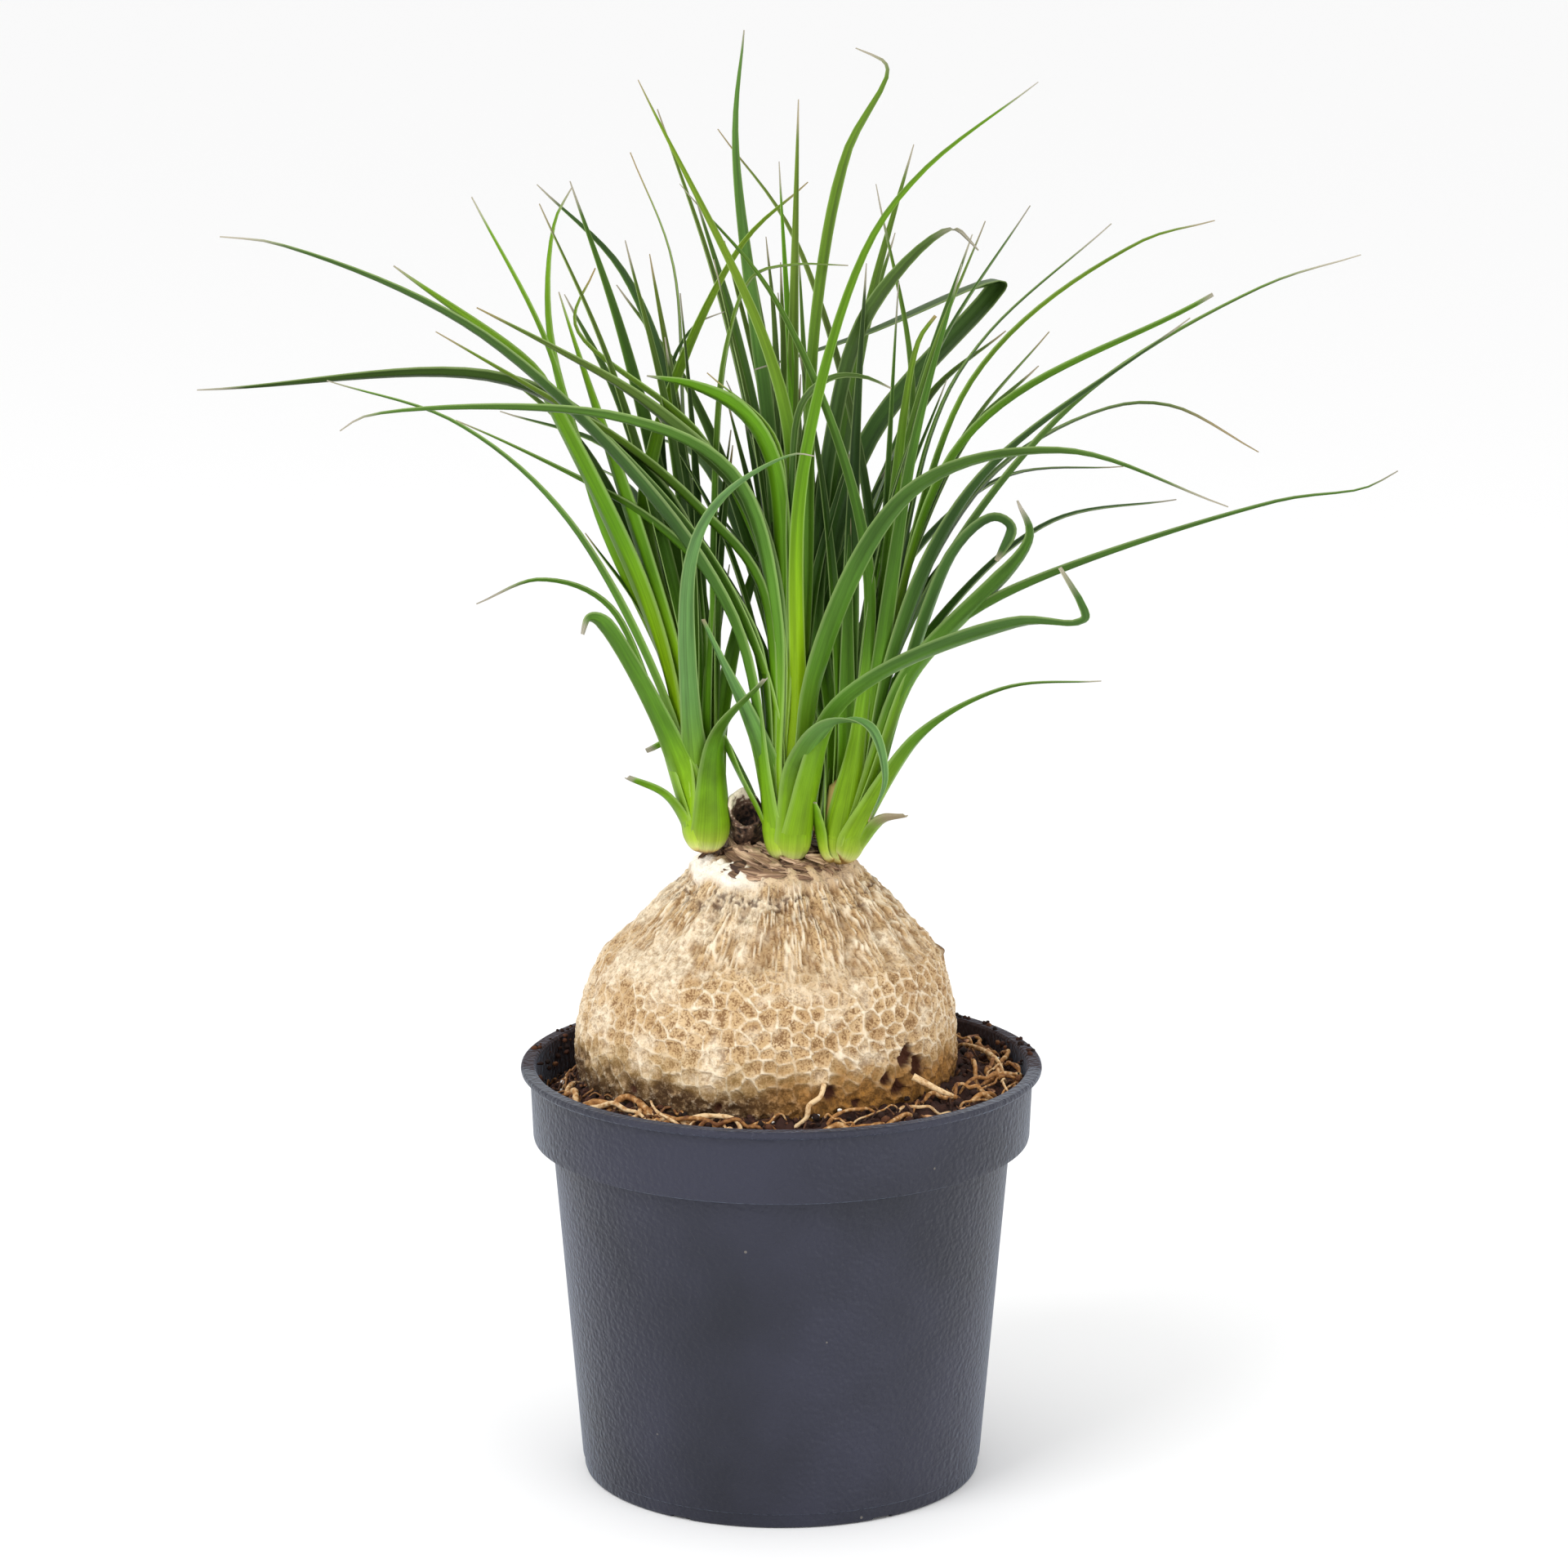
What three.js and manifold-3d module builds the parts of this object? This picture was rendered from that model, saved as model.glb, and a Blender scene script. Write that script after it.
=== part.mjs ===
// Potted ponytail palm: a young plant with a swollen corky trunk and four leafy shoots, in a plain
// nursery pot. Millimetres, +Z up, the origin in the middle of the pot's base, the front towards -Y.
import * as THREE from 'three';
import { mergeVertices } from 'three/addons/utils/BufferGeometryUtils.js';
import Module from 'manifold-3d';

// Driving dimensions.
const GAP = 0.3; // between pieces that touch
const POT_HEIGHT = 96.8;
const LIP_RADIUS = 60;
const LIP_HEIGHT = 1.6;
const COLLAR_RADIUS = 57.9;
const COLLAR_BOTTOM = 79.5;
const COLLAR_DRAFT = 0.6; // the collar is this much narrower at its lower edge
const BODY_TOP_RADIUS = 52.9;
const FOOT_RADIUS = 46;
const FOOT_BAND = 3.2;
const FOOT_STEP = 0.4;
const WALL = 1.3;
const FLOOR = 1.6;
const POT_SIDES = 40;
const DRAIN_HOLES = 6;
const DRAIN_HOLE_RADIUS = 4;
const DRAIN_CIRCLE = 33;
const DRAIN_GROOVE_WIDTH = 5;
const DRAIN_GROOVE_DEPTH = 0.7;

const SOIL_EDGE = 92.5; // the soil's height at the pot's wall, in front
const SOIL_RISE = 3.2; // how far it is mounded round the trunk
const SOIL_HOLLOW = 5.5; // how far it has sunk at the back left
const SOIL_HOLLOW_ANGLE = 140; // degrees, anticlockwise from +X
const SOIL_LUMPS = 0.8;
const SOIL_RINGS = [53.4, 50.4, 47.4, 44, 30]; // where its surface bends, from the wall inwards
const HOLE_MOUTH = 44.8; // the radius of the trunk's hole at the top
const ROOT_COUNT = 14;
const ROOT_RADIUS = 0.75;
const ROOT_SECTOR = [-165, 40]; // degrees, where roots show at the soil's surface
const ROOT_SWEEP = [12, 30]; // degrees from where a root comes out to where it goes in again
const ROOT_CIRCLE = [48.2, 53.4]; // the radii that they run along
const ROOT_SWING = 1.2;
const ROOT_LIFT = [0.4, 1.2]; // how far a loop stands up
const ROOT_DIP = 2.4; // how deep its ends are buried

// The trunk's outline from its root to its crown: radius, height.
const TRUNK_OUTLINE = [
  [8, 55.5], [17, 59], [27, 67], [34.5, 77], [39.5, 86], [42.6, 93], [43.8, 99], [43.3, 107.5],
  [42.2, 113], [40.5, 118], [39.2, 121.5], [37.3, 124.4], [33.6, 127.7], [30, 131.5],
  [26.5, 135.3], [23, 138.7], [19.3, 142.3], [16, 145], [12, 147], [7, 147.5],
];
const TRUNK_BOTTOM = 55;
const TRUNK_TOP = 147.6;
const TRUNK_LEAN = -3.5; // sideways at the widest place
const CROWN_LEAN = -1.2; // sideways at the crown
const TRUNK_LEAN_FROM = 142;
const TRUNK_LEAN_TO = 104;
const TRUNK_COLUMNS = 66; // a multiple of 3, for the net's three-fold pattern
const TRUNK_BURIED_ROWS = 2;
const TRUNK_BARE_ROWS = 18;
const SOIL_LINE = 90; // the net fades out below this height
const NET_TOP = 124; // the net gives way to long wrinkles above this height
const NET_DEPTH = 0.8;
const WRINKLES = TRUNK_COLUMNS / 3;
const WRINKLE_HEIGHT = 0.6;
const WRINKLED_SIDE = -55; // degrees, where the wrinkles are the deepest
const UNEVEN = 0.35; // how far the relief strays from an even pattern, as a share of a column

// The stub of a cut older stem, which leans towards the viewer.
const STUMP = { x: -8.2, y: 1, foot: 145, height: 14, radius: 3.6, wall: 0.9, depth: 6, tilt: 30 };

// A shoot's neck of clasping leaf bases, from its rounded foot up: radius, height.
const NECK_OUTLINE = [[3.4, -5.4], [4.7, -3], [5.2, 0.5], [5.1, 9], [4.8, 18], [3.4, 26]];
const NECK_BOTTOM = -6;
const NECK_TOP = 31;
const NECK_SIDES = 10;

const BLADE_THICKNESS = 0.65;
const BLADE_CHANNEL = 0.16; // the channel's depth as a share of the blade's width
const BLADE_ROOT = [0.6, 4, 0]; // where a leaf starts, inside its neck
const BLADE_STEP = 30; // the length of one facet along a leaf
const BLADE_SPREAD = 0.95; // a leaf's width over the width listed
const BLADE_FULL = 0.48; // the share of its length over which a leaf keeps its width
const BLADE_TAPER = 0.85; // below 1 the taper is full near its start and sharp at the tip
const THREAD = 0.13; // the width left at a thread-like tip, as a share of the leaf's
const CUT = 0.6; // the same at a tip that was cut off

// The leaves that the photograph shows, shoot by shoot. A leaf is its heading in degrees (0 is +X,
// 90 is away from the viewer), its width, its roll towards its tip in degrees, what is left of its
// width at the tip, and the places that its midrib passes: out from the shoot's foot, up from it
// and, where it leaves its own upright plane, to the left of its heading.
const SHOOTS = {
  left: {
    foot: [-17, -5, 148],
    leaves: [
      [205, 5.5, 30, THREAD, [6, 18], [20, 47], [27, 56], [30, 52]],
      [165, 3.5, 30, CUT, [6, 25], [14, 22]],
      [200, 4.5, 20, CUT, [10, 13], [19, 18]],
      [184, 5, 25, THREAD, [5, 21], [30, 75], [55, 98], [84, 108]],
      [174, 5.5, 35, THREAD, [7, 32], [34, 100], [39, 109], [70, 132]],
      [170, 4, 0, THREAD, [22, 55], [38, 61], [53, 55]],
      [158, 7, 50, THREAD, [7, 34], [26, 74], [39, 114], [57, 146]],
      [145, 5, 60, THREAD, [3, 21], [15, 51], [34, 85], [44, 116], [42, 140], [37, 148]],
      [165, 5, 45, THREAD, [2, 21], [34, 126]],
      [90, 5.5, 0, THREAD, [3, 33, 1], [19, 100, 8], [29, 128, 19], [40, 147, 39]],
      [90, 5.5, 30, THREAD, [2, 36, 4], [8, 78, 14], [20, 134, -7], [25, 149, -23]],
      [90, 4, 30, THREAD, [2, 21, 1], [21, 100, 10], [27, 116, 3], [30, 119, -4]],
      [90, 4, 80, THREAD, [5, 35, -1], [23, 90, 5], [41, 129, 8], [55, 153, 18]],
      [270, 5, 0, THREAD, [2, 16, -2], [24, 70, -3], [34, 86, 4], [49, 98, 20], [52, 98, 24]],
      [300, 4.5, 10, CUT, [5, 26], [27, 44]],
    ],
    hidden: { count: 5, from: 108, to: 160, reach: [75, 35], rise: [120, 165], seed: 2 },
  },
  middle: {
    foot: [1.5, -9, 147],
    leaves: [
      [190, 6, 35, THREAD, [13, 56], [65, 118], [112, 141], [125, 143]],
      [181, 5, 30, THREAD, [2, 28], [17, 68], [59, 113], [86, 130]],
      [178, 6, 30, THREAD, [7, 49], [21, 72], [30, 86], [61, 108], [132, 106]],
      [198, 5, 20, THREAD, [3, 55], [13, 88], [39, 102], [96, 105], [102, 102]],
      [160, 6, 35, THREAD, [2, 54], [20, 94], [51, 119], [46, 132]],
      [90, 6, 0, THREAD, [1, 91, -1], [1, 117, 5], [2, 175, 33]],
      [90, 4.5, 20, THREAD, [3, 35, 1], [14, 91, 4], [36, 159, 12], [45, 183, 10]],
      [90, 4.5, 10, THREAD, [4, 74, -2], [14, 156, 2]],
      [90, 5, 0, THREAD, [4, 35, 1], [27, 117, 3], [35, 137, 5]],
      [90, 6, 0, THREAD, [2, 54, -4], [7, 120, -6], [11, 158, -13], [14, 177, -22], [15, 181, -15]],
      [270, 6.5, 0, THREAD, [1, 32, 2], [5, 87, 3], [11, 139, 17], [13, 156, 29], [18, 176, 54]],
      [90, 7, 0, THREAD, [2, 35, -5], [10, 90, -9], [17, 122, -18], [23, 140, -37], [25, 135, -43]],
      [330, 7.5, -40, THREAD, [7, 42], [31, 86], [68, 98], [108, 89]],
      [320, 5, -40, THREAD, [13, 35], [66, 62], [82, 65], [76, 74]],
      [305, 6.5, -10, THREAD, [5, 22], [17, 34], [32, 35], [37, 25], [31, 14]],
      [198, 5, 45, CUT, [5, 21], [20, 56]],
      [163, 5, 20, THREAD, [12, 20], [16, 30]],
    ],
    hidden: { count: 3, from: 70, to: 110, reach: [24, 12], rise: [150, 180], seed: 11 },
  },
  right: {
    foot: [14.5, -9, 146],
    leaves: [
      [90, 4.5, 0, THREAD, [1, 67, -5], [3, 126, 15], [4, 153, 37]],
      [90, 4, 40, THREAD, [9, 69, -6], [29, 137, 11], [40, 162, 29]],
      [90, 3.5, 30, THREAD, [7, 54, -8], [19, 105, -15], [35, 150, -7]],
      [90, 3.5, 50, THREAD, [2, 33, -5], [24, 129, -12]],
      [90, 5, 0, CUT, [1, 29, -5], [9, 117, -16], [10, 123, -20]],
      [270, 4.5, 0, THREAD, [1, 30, 5], [7, 97, 15], [12, 137, 25]],
      [30, 4.5, -30, THREAD, [22, 96], [35, 116], [70, 141]],
      [15, 5, -40, THREAD, [28, 107], [67, 138], [86, 143]],
      [5, 5, -30, CUT, [25, 94], [82, 128]],
      [352, 6, -40, THREAD, [11, 48], [29, 87], [76, 125]],
      [12, 5, -30, THREAD, [12, 48], [50, 101], [95, 128], [119, 135]],
      [22, 5, -20, THREAD, [12, 49], [35, 86], [63, 100], [80, 100], [103, 88]],
      [343, 5, -30, THREAD, [16, 45], [31, 60], [97, 87], [117, 91], [124, 95]],
      [358, 5, -20, THREAD, [24, 71], [34, 79], [37, 76], [34, 70]],
      [340, 5.5, -40, THREAD, [14, 42], [43, 77], [40, 85]],
      [330, 4, -20, THREAD, [18, 30], [40, 44], [64, 48]],
      [340, 3, -20, THREAD, [11, 11], [16, 12]],
      [190, 5, 0, CUT, [3, 6], [5, 13]],
    ],
    hidden: { count: 5, from: 22, to: 62, reach: [85, 45], rise: [120, 165], seed: 5 },
  },
  back: {
    foot: [5, 13, 146],
    leaves: [
      [50, 7, -40, THREAD, [10, 65], [24, 91], [72, 122], [19, 115], [-17, 111]],
      [90, 4, 0, THREAD, [2, 19, -1], [17, 69, 2], [50, 135, 13]],
      [90, 4, 0, THREAD, [1, 19, -2], [12, 70, -2], [35, 133, 1]],
    ],
    hidden: { count: 12, from: 25, to: 160, reach: [92, 45], rise: [125, 180], seed: 7 },
  },
};

const wasm = await Module();
wasm.setup();

// ---- Helpers ----

// A closed mesh as a solid.
function toSolid(geometry) {
  const bare = geometry.clone();
  bare.deleteAttribute('normal');
  bare.deleteAttribute('uv');
  const merged = mergeVertices(bare);
  return new wasm.Manifold(new wasm.Mesh({
    numProp: 3,
    vertProperties: new Float32Array(merged.getAttribute('position').array),
    triVerts: new Uint32Array(merged.index.array),
  }));
}

// A fused solid's outer skin: hollows that fusing sealed are filled, and loose scraps dropped.
function outerSkin(solid) {
  const skins = solid.decompose().sort((a, b) => b.volume() - a.volume());
  return skins[0];
}

function toGeometry(solid) {
  const mesh = solid.getMesh();
  const geometry = new THREE.BufferGeometry();
  geometry.setAttribute('position', new THREE.BufferAttribute(mesh.vertProperties, 3));
  geometry.setIndex(new THREE.BufferAttribute(mesh.triVerts, 1));
  geometry.computeVertexNormals();
  return geometry;
}

function piece(name, solid, colour, roughness) {
  const material = new THREE.MeshStandardMaterial({ color: colour, roughness, metalness: 0 });
  const mesh = new THREE.Mesh(toGeometry(solid), material);
  mesh.name = name;
  return mesh;
}

// A small seeded generator of numbers from 0 to 1.
function seeded(seed) {
  let state = seed;
  return () => {
    state = (state + 0x6d2b79f5) >>> 0;
    let t = state;
    t = Math.imul(t ^ (t >>> 15), t | 1);
    t ^= t + Math.imul(t ^ (t >>> 7), t | 61);
    return ((t ^ (t >>> 14)) >>> 0) / 4294967296;
  };
}

const radians = THREE.MathUtils.degToRad;
const mix = THREE.MathUtils.lerp;
const smooth = THREE.MathUtils.smoothstep;

// A closed skin from a place on the axis to another, of rows that all have the same columns.
// Every odd row is turned by half a column, so that the rows form triangles with even sides.
function rowsToSolid(bottom, rows, top) {
  const columns = rows[0].length;
  const positions = [bottom, ...rows.flat(), top].flatMap((p) => p.toArray());
  const last = positions.length / 3 - 1;
  const at = (row, column) => 1 + row * columns + (column % columns);
  const faces = [];
  for (let c = 0; c < columns; c++) {
    faces.push(0, at(0, c + 1), at(0, c));
    faces.push(last, at(rows.length - 1, c), at(rows.length - 1, c + 1));
    for (let r = 0; r + 1 < rows.length; r++) {
      if (r % 2 === 0) {
        faces.push(at(r, c), at(r, c + 1), at(r + 1, c));
        faces.push(at(r, c + 1), at(r + 1, c + 1), at(r + 1, c));
      } else {
        faces.push(at(r, c), at(r + 1, c + 1), at(r + 1, c));
        faces.push(at(r, c), at(r, c + 1), at(r + 1, c + 1));
      }
    }
  }
  const geometry = new THREE.BufferGeometry();
  geometry.setAttribute('position', new THREE.Float32BufferAttribute(positions, 3));
  geometry.setIndex(faces);
  return toSolid(geometry);
}

// ---- Pot ----

function turned(outline, sides) {
  const points = outline.map(([radius, height]) => new THREE.Vector2(radius, height));
  const geometry = new THREE.LatheGeometry(points, sides);
  geometry.rotateX(Math.PI / 2);
  return toSolid(geometry);
}

function potSolid() {
  const collarFoot = COLLAR_RADIUS - COLLAR_DRAFT;
  const bodyFoot = FOOT_RADIUS + FOOT_STEP;
  const lipFoot = POT_HEIGHT - LIP_HEIGHT;
  const body = turned([
    [0, 0],
    [FOOT_RADIUS - 1, 0],
    [FOOT_RADIUS - 0.2, 0.6],
    [FOOT_RADIUS, FOOT_BAND],
    [bodyFoot, FOOT_BAND + 0.3],
    [BODY_TOP_RADIUS, COLLAR_BOTTOM],
    [collarFoot - 0.6, COLLAR_BOTTOM],
    [collarFoot, COLLAR_BOTTOM + 0.7],
    [COLLAR_RADIUS, lipFoot - 0.4],
    [LIP_RADIUS - 0.5, lipFoot],
    [LIP_RADIUS, lipFoot + 0.6],
    [LIP_RADIUS - 0.4, POT_HEIGHT],
    [COLLAR_RADIUS - WALL + 0.3, POT_HEIGHT],
    [COLLAR_RADIUS - WALL, POT_HEIGHT - 0.5],
    [collarFoot - WALL, COLLAR_BOTTOM + WALL],
    [BODY_TOP_RADIUS - WALL, COLLAR_BOTTOM + WALL - 0.1],
    [bodyFoot - WALL, FLOOR],
    [0, FLOOR],
  ], POT_SIDES);
  let pot = body;
  for (let i = 0; i < DRAIN_HOLES; i++) {
    const turn = (i / DRAIN_HOLES) * 2 * Math.PI;
    const hole = new THREE.CylinderGeometry(DRAIN_HOLE_RADIUS, DRAIN_HOLE_RADIUS, 3 * FLOOR, 16);
    hole.rotateX(Math.PI / 2);
    hole.translate(DRAIN_CIRCLE, 0, FLOOR / 2);
    hole.rotateZ(turn);
    const length = FOOT_RADIUS + 2 - DRAIN_CIRCLE;
    const groove = new THREE.BoxGeometry(length, DRAIN_GROOVE_WIDTH, 2 * DRAIN_GROOVE_DEPTH);
    groove.translate(DRAIN_CIRCLE + length / 2, 0, 0);
    groove.rotateZ(turn);
    pot = pot.subtract(toSolid(hole)).subtract(toSolid(groove));
  }
  return pot;
}

// ---- Trunk ----

function trunkLean(height) {
  return mix(CROWN_LEAN, TRUNK_LEAN, smooth(-height, -TRUNK_LEAN_FROM, -TRUNK_LEAN_TO));
}

// The trunk's rows of vertices from its root to its crown. Below the soil they are few.
function trunkRows() {
  const outline = new THREE.SplineCurve(TRUNK_OUTLINE.map(([r, z]) => new THREE.Vector2(r, z)));
  const places = outline.getSpacedPoints(400);
  const soilIndex = places.findIndex((p) => p.y > SOIL_LINE);
  const indices = [];
  for (let i = 0; i < TRUNK_BURIED_ROWS; i++) {
    indices.push(Math.round((soilIndex * i) / TRUNK_BURIED_ROWS));
  }
  for (let i = 0; i <= TRUNK_BARE_ROWS; i++) {
    indices.push(Math.round(mix(soilIndex, places.length - 1, i / TRUNK_BARE_ROWS)));
  }
  const draw = seeded(3);
  return indices.map((index, row) => {
    const { x: radius, y: height } = places[index];
    const stray = UNEVEN * smooth(height, SOIL_LINE, SOIL_LINE + 6);
    return Array.from({ length: TRUNK_COLUMNS }, (_, column) => {
      const turn = (column + (row % 2) / 2 + stray * (draw() - 0.5)) / TRUNK_COLUMNS;
      const angle = 2 * Math.PI * turn;
      const out = radius + trunkRelief(row, column, angle, height, radius);
      return new THREE.Vector3(trunkLean(height) + out * Math.cos(angle), out * Math.sin(angle), height);
    });
  });
}

// One row and column in three is the middle of a plate, and lies lower than the net's ridges.
// Above the net, wrinkles of uneven width fan down from the crown.
function trunkRelief(row, column, angle, height, radius) {
  const bare = smooth(height, SOIL_LINE, SOIL_LINE + 6);
  const net = 1 - smooth(height, NET_TOP - 4, NET_TOP + 6);
  const middle = (column - (row % 2) + 3) % 3 === 0;
  const plates = middle ? -NET_DEPTH : 0;
  const wander = 1.5 * Math.sin(height / 6) + 1.2 * Math.sin(3 * angle + 1);
  const strength = 0.75 + 0.35 * Math.cos(angle - radians(WRINKLED_SIDE));
  const folds = strength * Math.cos(WRINKLES * angle + wander) - 0.3;
  const wrinkles = WRINKLE_HEIGHT * folds * Math.min(1, radius / 24);
  return bare * (net * plates + (1 - net) * wrinkles);
}

function trunkBody() {
  const bottom = new THREE.Vector3(trunkLean(0), 0, TRUNK_BOTTOM);
  return rowsToSolid(bottom, trunkRows(), new THREE.Vector3(0, 0, TRUNK_TOP));
}

// The dead stub of a cut older stem, hollow at its top.
function stumpSolid() {
  const { x, y, foot, height, radius, wall, depth, tilt } = STUMP;
  const outline = [
    [0, 0], [radius, 0], [radius, height], [radius - wall, height],
    [radius - wall - 0.3, height - depth], [0, height - depth],
  ];
  return turned(outline, 12).rotate([tilt, 0, 0]).translate([x, y, foot]);
}

function trunkSolid() {
  let trunk = trunkBody().add(stumpSolid());
  for (const shoot of Object.values(SHOOTS)) {
    trunk = trunk.subtract(neckSolid(GAP).translate(shoot.foot));
  }
  return trunk;
}

// ---- Soil ----

function soilHeight(x, y) {
  const radius = Math.hypot(x, y);
  const angle = Math.atan2(y, x);
  const towardsHollow = Math.max(0, Math.cos(angle - radians(SOIL_HOLLOW_ANGLE)));
  const lumps = Math.sin(x * 0.71 + 1.3) * Math.cos(y * 0.83) + 0.6 * Math.sin(x * 1.7 - y * 1.3);
  const mound = SOIL_RISE * (1 - smooth(radius, 42, 56));
  return SOIL_EDGE + mound - SOIL_HOLLOW * towardsHollow ** 2 * smooth(radius, 42, 54)
    + SOIL_LUMPS * lumps * (1 - smooth(radius, 52, 56));
}

function soilBed() {
  const collarFoot = COLLAR_RADIUS - COLLAR_DRAFT - WALL - GAP;
  const sides = [
    [FOOT_RADIUS + FOOT_STEP - WALL - GAP, FLOOR + GAP],
    [BODY_TOP_RADIUS - WALL - GAP, COLLAR_BOTTOM + WALL + GAP - 0.1],
    [collarFoot, COLLAR_BOTTOM + WALL + GAP],
  ];
  const surface = [collarFoot + 0.3, ...SOIL_RINGS];
  const ring = (radius, heightAt) => Array.from({ length: POT_SIDES }, (_, i) => {
    const angle = (i / POT_SIDES) * 2 * Math.PI;
    const x = radius * Math.cos(angle);
    const y = radius * Math.sin(angle);
    return new THREE.Vector3(x, y, heightAt(x, y));
  });
  const rows = [
    ...sides.map(([radius, height]) => ring(radius, () => height)),
    ...surface.map((radius) => ring(radius, soilHeight)),
  ];
  const bottom = new THREE.Vector3(0, 0, FLOOR + GAP);
  return rowsToSolid(bottom, rows, new THREE.Vector3(0, 0, soilHeight(0, 0)));
}

// Stringy roots that loop out of the soil and back into it, most of them in front and at the right.
function surfaceRoots() {
  const draw = seeded(21);
  const section = new THREE.Shape();
  section.absarc(0, 0, ROOT_RADIUS, 0, 2 * Math.PI);
  return Array.from({ length: ROOT_COUNT }, (_, i) => {
    const start = radians(mix(...ROOT_SECTOR, (i + 0.7 * draw()) / ROOT_COUNT));
    const sweep = radians(mix(...ROOT_SWEEP, draw())) * (draw() < 0.5 ? -1 : 1);
    const radius = mix(...ROOT_CIRCLE, draw());
    const swing = mix(-ROOT_SWING, ROOT_SWING, draw());
    const places = [0, 0.25, 0.5, 0.75, 1].map((t, k) => {
      const angle = start + sweep * t;
      const out = radius + swing * Math.sin(Math.PI * 2 * t);
      const x = out * Math.cos(angle);
      const y = out * Math.sin(angle);
      const lift = [-ROOT_DIP, 0.1, mix(...ROOT_LIFT, draw()), 0.1, -ROOT_DIP][k];
      return new THREE.Vector3(x, y, soilHeight(x, y) + lift);
    });
    const path = new THREE.CatmullRomCurve3(places);
    return new THREE.ExtrudeGeometry(section, { extrudePath: path, steps: 6, curveSegments: 2 });
  });
}

function soilSolid() {
  let soil = soilBed();
  for (const root of surfaceRoots()) {
    soil = soil.add(toSolid(root));
  }
  return soil.subtract(trunkHole());
}

// The plain hole that the trunk stands in, a little wider at its mouth.
function trunkHole() {
  const buried = TRUNK_OUTLINE.filter(([, height]) => height < SOIL_LINE + 4);
  const clear = 1 / Math.cos(Math.PI / POT_SIDES);
  const mouth = HOLE_MOUTH * clear;
  const outline = [
    [0, TRUNK_BOTTOM - GAP],
    ...buried.map(([radius, height]) => [(radius + 2 * GAP) * clear, height]),
    [mouth, SOIL_LINE + 10],
    [0, SOIL_LINE + 10],
  ];
  return turned(outline, POT_SIDES).translate([TRUNK_LEAN, 0, 0]);
}

// ---- Shoots ----

function neckSolid(margin) {
  const outline = [
    [0, NECK_BOTTOM - margin],
    ...NECK_OUTLINE.map(([radius, height]) => [radius + margin, height]),
    [0, NECK_TOP + margin],
  ];
  return turned(outline, NECK_SIDES);
}

// One channelled strap leaf along its curve, tapering to its tip.
function bladeSolid([heading, width, roll, tip, ...places]) {
  const away = new THREE.Vector3(Math.cos(radians(heading)), Math.sin(radians(heading)), 0);
  const side = new THREE.Vector3(-away.y, away.x, 0);
  const points = [BLADE_ROOT, ...places].map(([out, up, left = 0]) =>
    new THREE.Vector3(0, 0, up).addScaledVector(away, out).addScaledVector(side, left));
  const curve = new THREE.CatmullRomCurve3(points);
  const steps = THREE.MathUtils.clamp(Math.round(curve.getLength() / BLADE_STEP), 3, 9);
  const rings = Array.from({ length: steps + 1 }, (_, i) =>
    bladeRing(curve, side, width * BLADE_SPREAD, roll, tip, i / steps));
  const positions = rings.flat().flatMap((p) => p.toArray());
  const faces = [];
  for (let i = 0; i < steps; i++) {
    for (let k = 0; k < 6; k++) {
      const [a, b] = [i * 6 + k, i * 6 + ((k + 1) % 6)];
      const [c, d] = [a + 6, b + 6];
      // The upper strips 0 and 1 and the lower ones 3 and 4 are split along the same lines.
      if (k < 3) faces.push(a, d, b, a, c, d);
      else faces.push(a, c, b, b, c, d);
    }
  }
  const end = steps * 6;
  faces.push(0, 1, 5, 5, 1, 4, 1, 2, 4, 4, 2, 3);
  faces.push(end, end + 5, end + 1, end + 5, end + 4, end + 1);
  faces.push(end + 1, end + 4, end + 2, end + 4, end + 3, end + 2);
  const geometry = new THREE.BufferGeometry();
  geometry.setAttribute('position', new THREE.Float32BufferAttribute(positions, 3));
  geometry.setIndex(faces);
  return toSolid(geometry);
}

// The six corners of a leaf's section: left, channel and right above, then right, channel and left.
function bladeRing(curve, side, width, roll, tip, t) {
  const place = curve.getPointAt(t);
  const along = curve.getTangentAt(t);
  const across = side.clone().addScaledVector(along, -side.dot(along)).normalize();
  across.applyAxisAngle(along, radians(roll) * smooth(t, 0.05, 0.45));
  const face = along.clone().cross(across);
  const taper = mix(tip, 1, Math.min(1, (1 - t) / (1 - BLADE_FULL)) ** BLADE_TAPER);
  const half = Math.max(BLADE_THICKNESS, width * taper) / 2;
  const fold = BLADE_CHANNEL * half; // how far the edges lie above the section's middle
  const upper = BLADE_THICKNESS / 2;
  const corner = (sideways, up) =>
    place.clone().addScaledVector(across, sideways).addScaledVector(face, up);
  return [
    corner(-half, fold + upper), corner(0, upper - fold), corner(half, fold + upper),
    corner(half, fold - upper), corner(0, -upper - fold), corner(-half, fold - upper),
  ];
}

// The leaves that the photograph hides, spread over a shoot's far side: the outer ones reach far
// and sag, the inner ones stand.
function hiddenLeaves({ count, from, to, reach, rise, seed }) {
  const draw = seeded(seed);
  return Array.from({ length: count }, (_, i) => {
    const heading = mix(from, to, (i * 0.618 + draw() * 0.15) % 1);
    const inner = (i + 0.5) / count;
    const out = mix(reach[0], reach[1], inner) + draw() * 16 - 8;
    const up = mix(rise[0], rise[1], inner) + draw() * 16 - 8;
    const sag = 0.5 * (1 - inner) + 0.15 * draw();
    const places = [0.2, 0.45, 0.72, 1].map((s) =>
      [out * s ** 1.5, 6 + up * (s - 0.75 * sag * s ** 3)]);
    return [heading, 5 + draw(), draw() * 50 - 25, THREAD, ...places];
  });
}

function shootSolid({ leaves, hidden }) {
  const blades = [...leaves, ...hiddenLeaves(hidden)].map(bladeSolid);
  return outerSkin(blades.reduce((whole, blade) => whole.add(blade), neckSolid(0)));
}

// ---- The plant ----

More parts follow.
